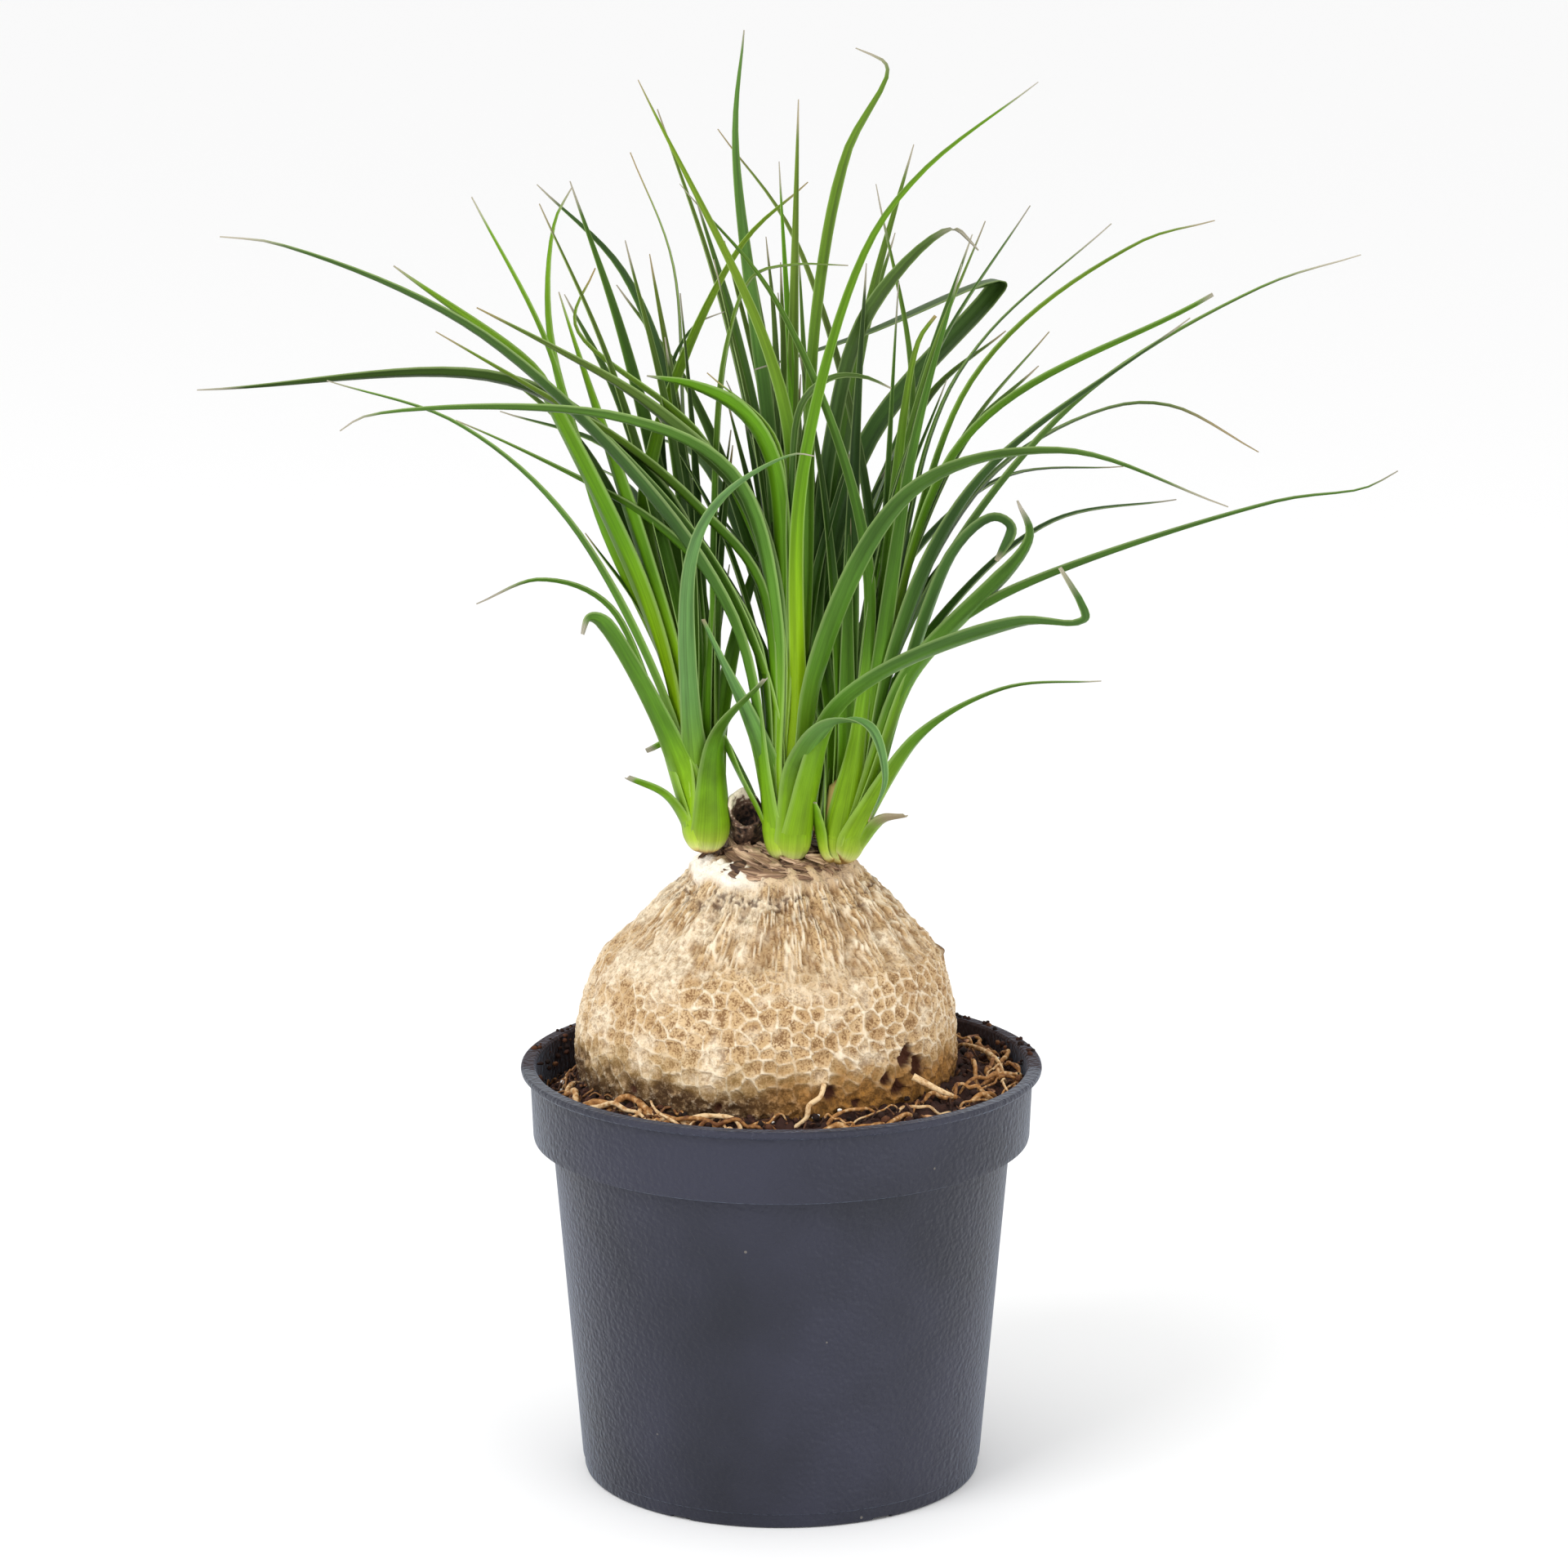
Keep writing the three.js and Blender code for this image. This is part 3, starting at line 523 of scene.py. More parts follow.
class PALM_OT_pot(bpy.types.Operator):
    """Turns the nursery pot and drills its drain holes"""
    bl_idname = "palm.pot"
    bl_label = "Pot"

    def execute(self, context):
        pot = context.scene.palm_pot
        height, lip, collar, edge, body, foot, wall = (
            size / MM for size in (pot.height, pot.lip_radius, pot.collar_radius, pot.collar_bottom,
                                   pot.body_radius, pot.foot_radius, pot.wall))
        outline = [
            (0, 0), (foot - 1, 0), (foot - 0.25, 0.3), (foot, 1), (foot, 3), (foot + 0.1, 3.3),
            (foot + 0.45, 3.55), (mix(foot + 0.45, body, 0.33), mix(3.5, edge, 0.33)),
            (mix(foot + 0.45, body, 0.66), mix(3.5, edge, 0.66)), (body, edge - 0.3),
            (body + 0.35, edge), (collar - 1.3, edge), (collar - 0.75, edge + 0.25),
            (collar - 0.6, edge + 0.9), (collar - 0.3, height - 9), (collar, height - 2.2),
            (collar + 0.5, height - 1.75), (lip - 0.5, height - 1.6), (lip - 0.08, height - 1.2),
            (lip, height - 0.8), (lip - 0.1, height - 0.3), (lip - 0.5, height),
            (collar - wall + 0.5, height), (collar - wall, height - 0.5), (collar - 0.6 - wall, edge + wall),
            (body - wall, edge + wall - 0.1), (foot - wall, POT_FLOOR), (0, POT_FLOOR),
        ]
        piece = turn("nursery_pot", outline, POT_SIDES)
        cutters = []
        for i in range(DRAIN_HOLES):
            angle = i / DRAIN_HOLES * 2 * math.pi
            spot = Vector((math.cos(angle), math.sin(angle), 0))
            cutters.append(fresh(bpy.ops.mesh.primitive_cylinder_add, vertices=32,
                                 radius=DRAIN_HOLE_RADIUS * MM, depth=6 * MM,
                                 location=spot * DRAIN_CIRCLE * MM))
            cutters.append(fresh(bpy.ops.mesh.primitive_cube_add, size=1,
                                 location=spot * (DRAIN_CIRCLE + DRAIN_GROOVE[0] / 2) * MM,
                                 rotation=(0, 0, angle), scale=Vector(DRAIN_GROOVE) * MM))
        for cutter in cutters:
            cutter.data.materials.clear()
            apply_modifier(piece, "BOOLEAN", operation="DIFFERENCE", solver="EXACT", object=cutter)
        for cutter in cutters:
            discard(cutter)
        # Where peat is smeared: inside the collar, and on the lip round the back.
        points = places(piece)
        out, turns = np.hypot(points[:, 0], points[:, 1]), np.arctan2(points[:, 1], points[:, 0])
        inside = (points[:, 2] > edge + wall - 0.1) & (out < collar - wall + 0.2)
        lip_top = (points[:, 2] > height - 0.9) * smooth(np.sin(turns), -0.3, -0.05)
        store(piece, "soiled", np.where(inside, 1.0, lip_top))
        finish_piece(piece, moulded_plastic(pot), stands_for="pot", angle=32)
        return {"FINISHED"}


# ---- Trunk ----

# The trunk's outline from its root to its crown: radius, height.
TRUNK_OUTLINE = [
    (8, 55.5), (17, 59), (27, 67), (34.5, 77), (39.5, 86), (42.6, 93), (43.8, 99), (43.3, 107.5),
    (42.2, 113), (40.5, 118), (39.2, 121.5), (37.3, 124.4), (33.6, 127.7), (30, 131.5),
    (26.5, 135.3), (23, 138.7), (19.3, 142.3), (16, 145), (12, 147), (7, 147.5),
]
TRUNK_BOTTOM, TRUNK_TOP = 55, 147.6
TRUNK_STEPS = 540
TRUNK_RINGS = 150
TRUNK_LEAN = -3.5  # how far the trunk stands off the pot's axis low down
CROWN_LEAN = -1.2  # and how far its crown does
WRINKLES = 22
WRINKLED_SIDE = math.radians(-55)  # where they are deepest
# Pits low on the trunk in front: angle in degrees, height, radius and depth.
PITS = [(-71, 100.8, 1.5, 1.7), (-52, 101.8, 1.4, 1.8), (-43, 106.0, 2.6, 2.2), (-38, 102.6, 2.4, 2.2),
        (-47, 99.2, 1.8, 1.6), (-62, 97.6, 1.2, 1.0), (-104, 97.5, 1.0, 0.9), (-133, 99, 1.2, 0.9),
        (40, 103, 1.6, 1.4), (120, 100, 1.5, 1.2)]


def trunk_lean(height):
    return mix(CROWN_LEAN, TRUNK_LEAN, smooth(-np.asarray(height, float), -142, -104))


def plate_middles(outline, width, draw):
    """Irregular middles for the net's plates, row by row up the trunk."""
    lengths = np.r_[0, np.cumsum(np.linalg.norm(np.diff(outline, axis=0), axis=1))]
    middles = []
    for along in np.arange(0, lengths[-1], width * 0.8):
        radius = np.interp(along, lengths, outline[:, 0])
        height = np.interp(along, lengths, outline[:, 1])
        count = max(3, int(2 * math.pi * radius / width))
        phase = draw()
        for i in range(count):
            angle = (i + phase + 0.8 * (draw() - 0.5)) / count * 2 * math.pi
            shift = 0.55 * width * (draw() - 0.5)
            if draw() < 0.87:
                middles.append((radius * math.cos(angle), radius * math.sin(angle), height + shift))
    return np.array(middles)


def border_distance(points, middles):
    """How much farther each point is from the next plate's middle than from its own plate's."""
    found = np.empty(len(points))
    squares = (middles ** 2).sum(1)
    for start in range(0, len(points), 4000):
        block = points[start:start + 4000]
        apart = (block ** 2).sum(1)[:, None] + squares - 2 * block @ middles.T
        nearest = np.sqrt(np.maximum(np.partition(apart, 1, axis=1)[:, :2], 0))
        found[start:start + 4000] = nearest[:, 1] - nearest[:, 0]
    return found


class PALM_OT_trunk(bpy.types.Operator):
    """Turns the swollen trunk and raises its net, wrinkles and shoulder"""
    bl_idname = "palm.trunk"
    bl_label = "Trunk"

    def execute(self, context):
        trunk = context.scene.palm_trunk
        curve = midrib([(r, 0, z) for r, z in TRUNK_OUTLINE], 1200)[:, [0, 2]]
        lengths = np.r_[0, np.cumsum(np.linalg.norm(np.diff(curve, axis=0), axis=1))]
        bare = float(np.interp(90, curve[:, 1], lengths))  # the soil hides the trunk up to here
        at = np.r_[np.linspace(0, bare, 9)[:-1], np.linspace(bare, lengths[-1], TRUNK_RINGS)]
        outline = np.stack([np.interp(at, lengths, curve[:, k]) for k in range(2)], 1)
        piece = turn("swollen_trunk", [(0, TRUNK_BOTTOM), *map(tuple, outline), (0, TRUNK_TOP)], TRUNK_STEPS)
        points = places(piece)
        normals = facing(piece)
        turns = np.arctan2(points[:, 1], points[:, 0])
        angle = np.degrees(turns)
        out = np.hypot(points[:, 0], points[:, 1])
        height = points[:, 2]
        broad = unevenness(points, 14)
        middling = unevenness(points, 5, 7)
        small = unevenness(points, 2.2, 3)
        tiny = unevenness(points, 0.95, 15)
        showing = smooth(height, 88, 91)

        # The net of ridges, wavering, faded in places and gone above the shoulder.
        warped = points + 0.5 * np.stack([unevenness(points, 2.2, s) for s in (11, 12, 13)], 1)
        plates = plate_middles(curve[curve[:, 1] > 84], trunk.plate_width / MM, seeded(4))
        border = border_distance(warped, plates)
        crease = 1 - smooth(border, 0.1, 1.1)
        swell = 1 - smooth(border, 0.3, 2.4)
        reach = 1 - smooth(height + 6 * broad + 4 * middling, 121, 132)
        strength = np.clip(0.85 + 0.8 * middling + 0.35 * broad + 0.4 * small, 0.2, 1) * reach
        rise = trunk.ridge_height / MM
        relief = reach * rise * (0.75 * crease * strength + 0.5 * swell - 0.7)
        relief += 0.22 * small + 0.2 * tiny + 0.25 * broad

        # Wrinkles of uneven width that fan down from the crown, with finer ones between them.
        above = smooth(height, 120, 130)
        phase = WRINKLES * turns + 1.5 * np.sin(height / 6) + 1.2 * np.sin(3 * turns + 1)
        wrinkled = 0.75 + 0.35 * np.cos(turns - WRINKLED_SIDE)
        wave = np.cos(phase + 1.3 * middling + 0.6 * small)
        relief += above * trunk.wrinkle_height / MM * (wrinkled * wave - 0.3) * np.minimum(1, out / 24)
        shoulder = smooth(height + 5 * broad + 3 * middling, 122, 131) * (1 - smooth(height, 141, 144))
        thin = np.stack([26 * np.cos(turns), 26 * np.sin(turns), height * 0.16], 1) + 0.3 * middling[:, None]
        folds = unevenness(thin, 1.0, 5)
        crest = (1 - smooth(np.abs(folds), 0.0, 0.24)) * shoulder
        furrow = smooth(-wave, 0.25, 0.9) * smooth(broad + 0.5 * middling, -0.35, 0.25) * shoulder
        cracks = (1 - smooth(np.abs(unevenness(1.5 * thin + 40, 1.0, 8)), 0.02, 0.2)) * shoulder
        relief += 0.35 * crest - 0.35 * furrow * wrinkled - 0.4 * cracks

        # The ledge round the crown, painted pale as a highlight that is strongest at the left and broken at
        # the right, with rough bark and pits under it.
        wobble = 0.9 * middling + 0.5 * small
        level = height + wobble
        ledge = smooth(level, 141.4, 142.8) * (1 - smooth(level, 145.2, 146.6))
        relief += (0.5 + 0.6 * smooth(-np.cos(turns), 0.2, 0.7)) * ledge * (1 + 0.5 * tiny)
        under = smooth(level, 134.5, 139) * (1 - smooth(level, 140.8, 142.2))
        holes = under * smooth(0.8 * tiny + 0.6 * small + 0.2 * middling, 0.12, 0.45)
        relief += under * (0.5 * tiny + 0.35 * small) - 0.8 * holes

        # Pits low in front, the root flare between them, and a dark bud at the right.
        scar = 0.75 * holes
        for pit_angle, pit_height, pit_radius, pit_depth in PITS:
            radius = np.interp(pit_height, curve[:, 1], curve[:, 0])
            centre = np.array([radius * math.cos(math.radians(pit_angle)),
                               radius * math.sin(math.radians(pit_angle)), pit_height])
            away = np.linalg.norm(points - centre, axis=1) * (1 + 0.5 * small + 0.3 * tiny)
            pit = 1 - smooth(away, 0.3 * pit_radius, 1.3 * pit_radius)
            relief -= pit_depth * pit
            scar = np.maximum(scar, smooth(pit, 0, 0.6))
        flare = np.exp(-((angle + 77) / 5) ** 2) * (1 - smooth(height, 94, 102))
        relief += 1.6 * flare
        bud = np.exp(-((angle - 1) / 2.2) ** 2 - ((height - 122.8) / 1.5) ** 2)
        relief += 1.7 * bud

        low = 1 - smooth(height + 4 * middling + 2 * broad + small, 98, 110)
        points += normals * (relief * showing)[:, None]
        points[:, 0] += trunk_lean(height)
        set_places(piece, points)
        # The pale patches are partly the cork's own chalk and partly painted light: there are more of them on
        # the left, where the key light falls.
        key_lit_leftness = smooth(-np.cos(turns + 0.25), -0.3, 0.8)
        # The ledge's pale colour is a painted highlight, strongest at the left, where the key light falls.
        highlight_at_left = 0.12 + 0.88 * smooth(-np.cos(turns), 0.05, 0.6)
        for name, values in {
                "border": border, "net": strength,
                "crest": crest * (1 - furrow) * (1 - cracks),
                "furrow": np.maximum(0.4 * furrow, 0.85 * cracks),
                "stain": low,
                "rust": low * smooth(np.cos(turns - math.radians(-45)), 0.55, 0.95),
                "scar": np.clip(np.maximum(scar, 0.9 * bud), 0, 1) * showing,
                "ledge": ledge * highlight_at_left * (1 - smooth(level, 145.0, 146.0)),
                "litter": smooth(level, 145.5, 146.5),
                "bleached": smooth(broad + 0.8 * middling + 0.5 * key_lit_leftness, 0.2, 0.75) * (1 - low),
        }.items():
            store(piece, name, values)
        finish_piece(piece, corky_bark(trunk), stands_for="caudex")
        return {"FINISHED"}


# ---- Crown ----

# The stump of a cut stem: its foot's place, its size and how far it tilts back, in degrees.
STUB = {"x": -8.0, "y": 1.5, "foot": 147.3, "height": 13.5, "radius": 4.0, "tilt": 36}
SCALES = 150  # papery scales on the crown
COLLAR_SCALES = 22  # and round each shoot's foot
SCALE_RINGS = 10  # the rings along each


def dome_height(out):
    """The height of the trunk's crown at a distance from its middle."""
    return float(np.interp(out, [7, 12, 16, 19.3, 23], [147.5, 147, 145, 142.3, 138.7]))


class PALM_OT_crown(bpy.types.Operator):
    """Lays the papery remains of old leaf bases between the shoots, round the stub of a cut stem"""
    bl_idname = "palm.crown"
    bl_label = "Crown"

    def execute(self, context):
        draw = seeded(31)
        radius, tall = STUB["radius"], STUB["height"]
        stub = turn("cut_stem_stub", [
            (0, -4), (radius * 1.1, -4), (radius * 1.05, 3), (radius * 0.97, tall - 4), (radius, tall - 1.5),
            (radius * 1.03, tall - 0.4), (radius * 0.93, tall), (radius - 0.8, tall - 0.3),
            (radius - 1, tall - 1.5), (radius - 1.1, tall - 4), (radius - 1.8, tall - 6.5),
            (0, tall - 7.5)], 48)
        points = places(stub)
        uneven = unevenness(points, 1.6)
        rim = smooth(points[:, 2], tall - 4.5, tall - 0.4)
        behind = smooth(points[:, 1] - 0.6 * points[:, 0], -2.5, 4.5)
        points[:, :2] *= (1 + 0.1 * unevenness(points, 2.5, 5))[:, None]
        points[:, 2] += rim * (2.2 * behind - 2.2 * (1 - behind) + 1.2 * unevenness(points, 2.2, 8))
        out = np.hypot(points[:, 0], points[:, 1])
        inside = smooth(-out, 0.7 - radius, 1.3 - radius) * (points[:, 2] > tall - 10)
        set_places(stub, points)
        pale = rim * smooth(behind, 0.3, 0.8)
        store(stub, "own", np.clip((0.3 + 0.3 * uneven + 0.9 * pale) * (1 - 0.95 * inside), 0, 1))
        tilt = Matrix.Rotation(math.radians(STUB["tilt"]), 4, "X")
        stub.data.transform(Matrix.Translation(Vector((STUB["x"], STUB["y"], STUB["foot"])) * MM) @ tilt)
        finish_piece(stub, dry_fibre("dead stem wood", ("#1a0e09", "#6d5140", "#f0e2ca")))

        # Thin scales, each a strip bent round the crown or round a foot, with its free edge inwards.
        strip = fresh(bpy.ops.mesh.primitive_grid_add, x_subdivisions=4,
                      y_subdivisions=SCALE_RINGS - 1, size=2)
        apply_modifier(strip, "SOLIDIFY", thickness=2.0, offset=0.0)

        def scale(centre, out, bearing, half_span, half_width, rise, height, tone, seed):
            """One scale, so far out from its centre and laid along that circle."""
            turns = [bearing - half_span / out, bearing, bearing + half_span / out]
            slope = half_span * mix(-0.1, 0.6, draw())
            ends = [np.array([centre[0] + out * math.cos(a), centre[1] + out * math.sin(a),
                              height + half_width * math.sin(rise) + dip])
                    for a, dip in zip(turns, (slope - 0.5, 0.3, -slope - 0.5))]
            inward = np.array([-math.cos(bearing), -math.sin(bearing), 0])
            side = inward * math.cos(rise) + np.array([0, 0, math.sin(rise)])
            piece = copy_of(strip)
            unit = places(piece)
            at, place, ahead, across = rings_along(midrib(ends, 40), side, SCALE_RINGS)
            ring = np.rint((unit[:, 1] + 1) / 2 * (SCALE_RINGS - 1)).astype(int)
            share = (at / at[-1])[ring]
            width = half_width * (1 - 0.9 * np.abs(2 * share - 1) ** 2)
            face = np.cross(ahead, across)[ring]
            ragged = 0.7 * unevenness(place[ring] + 2 * unit, 1.2, seed) * (0.3 + 0.7 * (unit[:, 0] > 0))
            curl = 0.3 * half_width * (unit[:, 0] + 0.4) ** 2 * mix(-1, 1, draw())
            laid = (place[ring] + across[ring] * (width * unit[:, 0] + ragged)[:, None]
                    + face * (curl + 0.11 * unit[:, 2] + 0.5 * ragged)[:, None])
            set_places(piece, laid)
            store(piece, "own", tone)
            return piece

        # Heaps of them on the crown, clear of the shoots and of the bare left front.
        feet = [shoot["foot"][:2] for shoot in SHOOTS.values()]
        scales = []
        while len(scales) < SCALES:
            bearing = 2 * math.pi * draw()
            out = mix(5, 17.6, draw() ** 0.6)
            x, y = CROWN_LEAN + out * math.cos(bearing), out * math.sin(bearing)
            if min(math.hypot(x - fx, y - fy) for fx, fy in feet) < 4.5 or (x < -11 and y < -1):
                continue
            tone = mix(0.0, 0.8, draw()) if draw() < 0.9 else 1.0
            heap = 1.6 * smooth(-out, -15, -8) * draw()
            scales.append(scale((CROWN_LEAN, 0), out, bearing + mix(-0.1, 0.1, draw()),
                                mix(2.5, 6.5, draw()), mix(0.5, 2.0, draw() ** 1.5), mix(0.1, 0.9, draw()),
                                dome_height(out) - 0.2 + heap, tone, len(scales)))
        # A collar of them round each shoot's foot, but not on its outer side.
        for shoot in SHOOTS.values():
            x, y, z = shoot["foot"]
            x += shoot["raised"][0]
            for i in range(COLLAR_SCALES):
                bearing = 2 * math.pi * (i + draw()) / COLLAR_SCALES
                if abs(x) > 10 and x * math.cos(bearing) > -3 or x < -10 and math.sin(bearing) < -0.3:
                    continue
                out = mix(2.4, 5.2, draw())
                height = z + shoot["raised"][1] - 0.5 - 0.5 * (5.2 - out) - 1.3 * draw()
                scales.append(scale((x, y), out, bearing, mix(1.6, 3.4, draw()), mix(0.5, 1.2, draw()),
                                    mix(0.1, 0.7, draw()), height, mix(0.1, 0.8, draw()), 200 + i))
        discard(strip)
        papery = dry_fibre("papery old leaf base", ("#3a241a", "#8c6c52", "#d2b292"), lengthwise=True)
        finish_piece(join("papery_leaf_bases", scales), papery)
        return {"FINISHED"}


# ---- Soil ----

SOIL_LEVEL = 92.5  # where the bed's top is turned, before it is given its own height
CLINGING_CRUMBS = 240
FIBRES = 190
ROOT_RINGS = 22  # the rings along each root and fibre


def soil_height(x, y):
    """The soil's surface in millimetres, mounded round the trunk and sunk at the back left."""
    soil = bpy.context.scene.palm_soil
    out = np.hypot(x, y)
    towards = np.maximum(0, np.cos(np.arctan2(y, x) - math.radians(140)))
    lumps = np.sin(x * 0.71 + 1.3) * np.cos(y * 0.83) + 0.6 * np.sin(x * 1.7 - y * 1.3)
    mound = soil.rise / MM * (1 - smooth(out, 42, 56))
    return (soil.edge_height / MM + mound - 5.5 * towards ** 2 * smooth(out, 42, 54)
            + 0.8 * lumps * (1 - smooth(out, 52, 56)))


def on_soil(x, y, above=0.0):
    """The place over x and y, so far above the soil."""
    return x, y, float(soil_height(x, y)) + above


def spot_on_soil(draw, inner=43.5, outer=55.0):
    """A random place on the ring of soil that shows, and its bearing."""
    angle = 2 * math.pi * draw()
    out = math.sqrt(mix(inner ** 2, outer ** 2, draw()))
    lean = TRUNK_LEAN * (out < 48)
    return lean * 0.6 + out * math.cos(angle), out * math.sin(angle), angle


def strewn(crumb, place, shape, tone):
    """A copy of the crumb at a place, with its own shape and tone."""
    piece = copy_of(crumb, Matrix.Translation(place) @ shape)
    store(piece, "own", tone)
    return piece


def tumbled(draw):
    """A random turn about the upright and then a level axis."""
    return Matrix.Rotation(6 * draw(), 4, "Z") @ Matrix.Rotation(6 * draw(), 4, "X")


class PALM_OT_soil(bpy.types.Operator):
    """Fills the pot with peat and strews crumbs, chips and grains on it"""
    bl_idname = "palm.soil"
    bl_label = "Soil"

    def execute(self, context):
        soil = context.scene.palm_soil
        draw = seeded(17)
        surface = [(out, SOIL_LEVEL) for out in np.arange(55.4, 39.0, -0.7)]
        bed = turn("peat_bed", [(0, 1.9), (44.9, 1.9), (51.2, 80.5), (55.6, 81.2), (55.8, SOIL_LEVEL),
                                *surface, (36, 80), (20, 64), (0, 54.6)], 360)
        points = places(bed)
        top = (smooth(points[:, 2], SOIL_LEVEL - 0.2, SOIL_LEVEL)
               * (np.hypot(points[:, 0], points[:, 1]) > 38.5))
        rough = (0.9 * unevenness(points, 3.0) + 0.7 * unevenness(points, 1.3, 4)
                 + 0.35 * unevenness(points, 0.7, 9))
        rise = soil_height(points[:, 0], points[:, 1]) - SOIL_LEVEL - 0.6 + rough
        points[:, 2] += top * rise
        set_places(bed, points)
        store(bed, "own", 0.42)
        peat = moist_peat(soil)
        finish_piece(bed, peat, stands_for="soil")

        crumb = fresh(bpy.ops.mesh.primitive_ico_sphere_add, subdivisions=1, radius=1)
        crumb.data.transform(Matrix.Diagonal((1, 0.85, 0.7, 1)))
        set_places(crumb, places(crumb) * (1 + 0.22 * unevenness(places(crumb) * MM, 0.8, 2))[:, None])
        crumbs = []
        for _ in range(soil.crumbs):
            x, y, _bearing = spot_on_soil(draw)
            size = mix(0.35, 1.35, draw() ** 2)
            turned = tumbled(draw)
            crumbs.append(strewn(crumb, on_soil(x, y, mix(-0.5, 0.5, draw())),
                                 turned @ Matrix.Scale(size, 4), draw() ** 1.3))
        # Crumbs that cling to the wall and lie on the lip, round the back.
        stray = seeded(53)
        for _ in range(CLINGING_CRUMBS):
            share, on_lip = stray(), stray() < 0.35
            angle = math.radians(mix(4, 172, share) if on_lip else mix(-14, 200, share))
            out = mix(57.3, 59.2, stray()) if on_lip else mix(54.6, 56.2, stray())
            x, y = out * math.cos(angle), out * math.sin(angle)
            z = 97.0 if on_lip else mix(float(soil_height(x, y)), 96.7, stray() ** 1.5)
            size = mix(0.3, 1.0, stray() ** 1.5)
            crumbs.append(strewn(crumb, (x, y, z), tumbled(stray) @ Matrix.Scale(size, 4), stray() ** 1.3))
        finish_piece(join("peat_crumbs", crumbs), peat)

        # A few chips of bark and wood, and white grains.
        chips = []
        for x, y, size, bearing, tone in [
                (44, 31, 4.2, 0.4, 0.55), (33, -37, 3.4, 2.2, 0.95), (-30, -44, 2.6, 1.2, 0.5),
                (8, -52, 2.4, 0.3, 0.35), (25, -46, 2.2, 2.8, 0.6), (-47, -20, 2.6, 0.9, 0.45),
                (-20, -49, 2.0, 2.0, 0.7), (48, -14, 2.3, 1.7, 0.5), (-44, 26, 2.8, 0.2, 0.4),
                (12, 50, 2.6, 1.1, 0.5), (-14, 48, 2.2, 2.5, 0.65), (40, -31, 1.8, 0.1, 0.8)]:
            turned = Matrix.Rotation(bearing, 4, "Z") @ Matrix.Rotation(mix(-0.4, 0.4, draw()), 4, "Y")
            flat = Matrix.Diagonal((size, size * 0.45, size * 0.22, 1))
            chips.append(strewn(crumb, on_soil(x, y, 0.5), turned @ flat, tone))
        finish_piece(join("bark_chips", chips),
                     dry_fibre("pine bark chip", ("#3b2218", "#8d5d41", "#d9a779")), angle=20)
        grains = []
        for i in range(16):
            x, y, _bearing = spot_on_soil(draw)
            if i < 6:  # these lie together at the left
                x, y = -52 + 3 * draw(), -6 + 8 * draw()
            grains.append(strewn(crumb, on_soil(x, y, 0.3), Matrix.Scale(mix(0.35, 0.7, draw()), 4), 0.9))
        finish_piece(join("white_grains", grains),
                     dry_fibre("expanded perlite grain", ("#b9b2a6", "#dcd6cb", "#f3f0ea")), angle=20)
        discard(crumb)
        return {"FINISHED"}


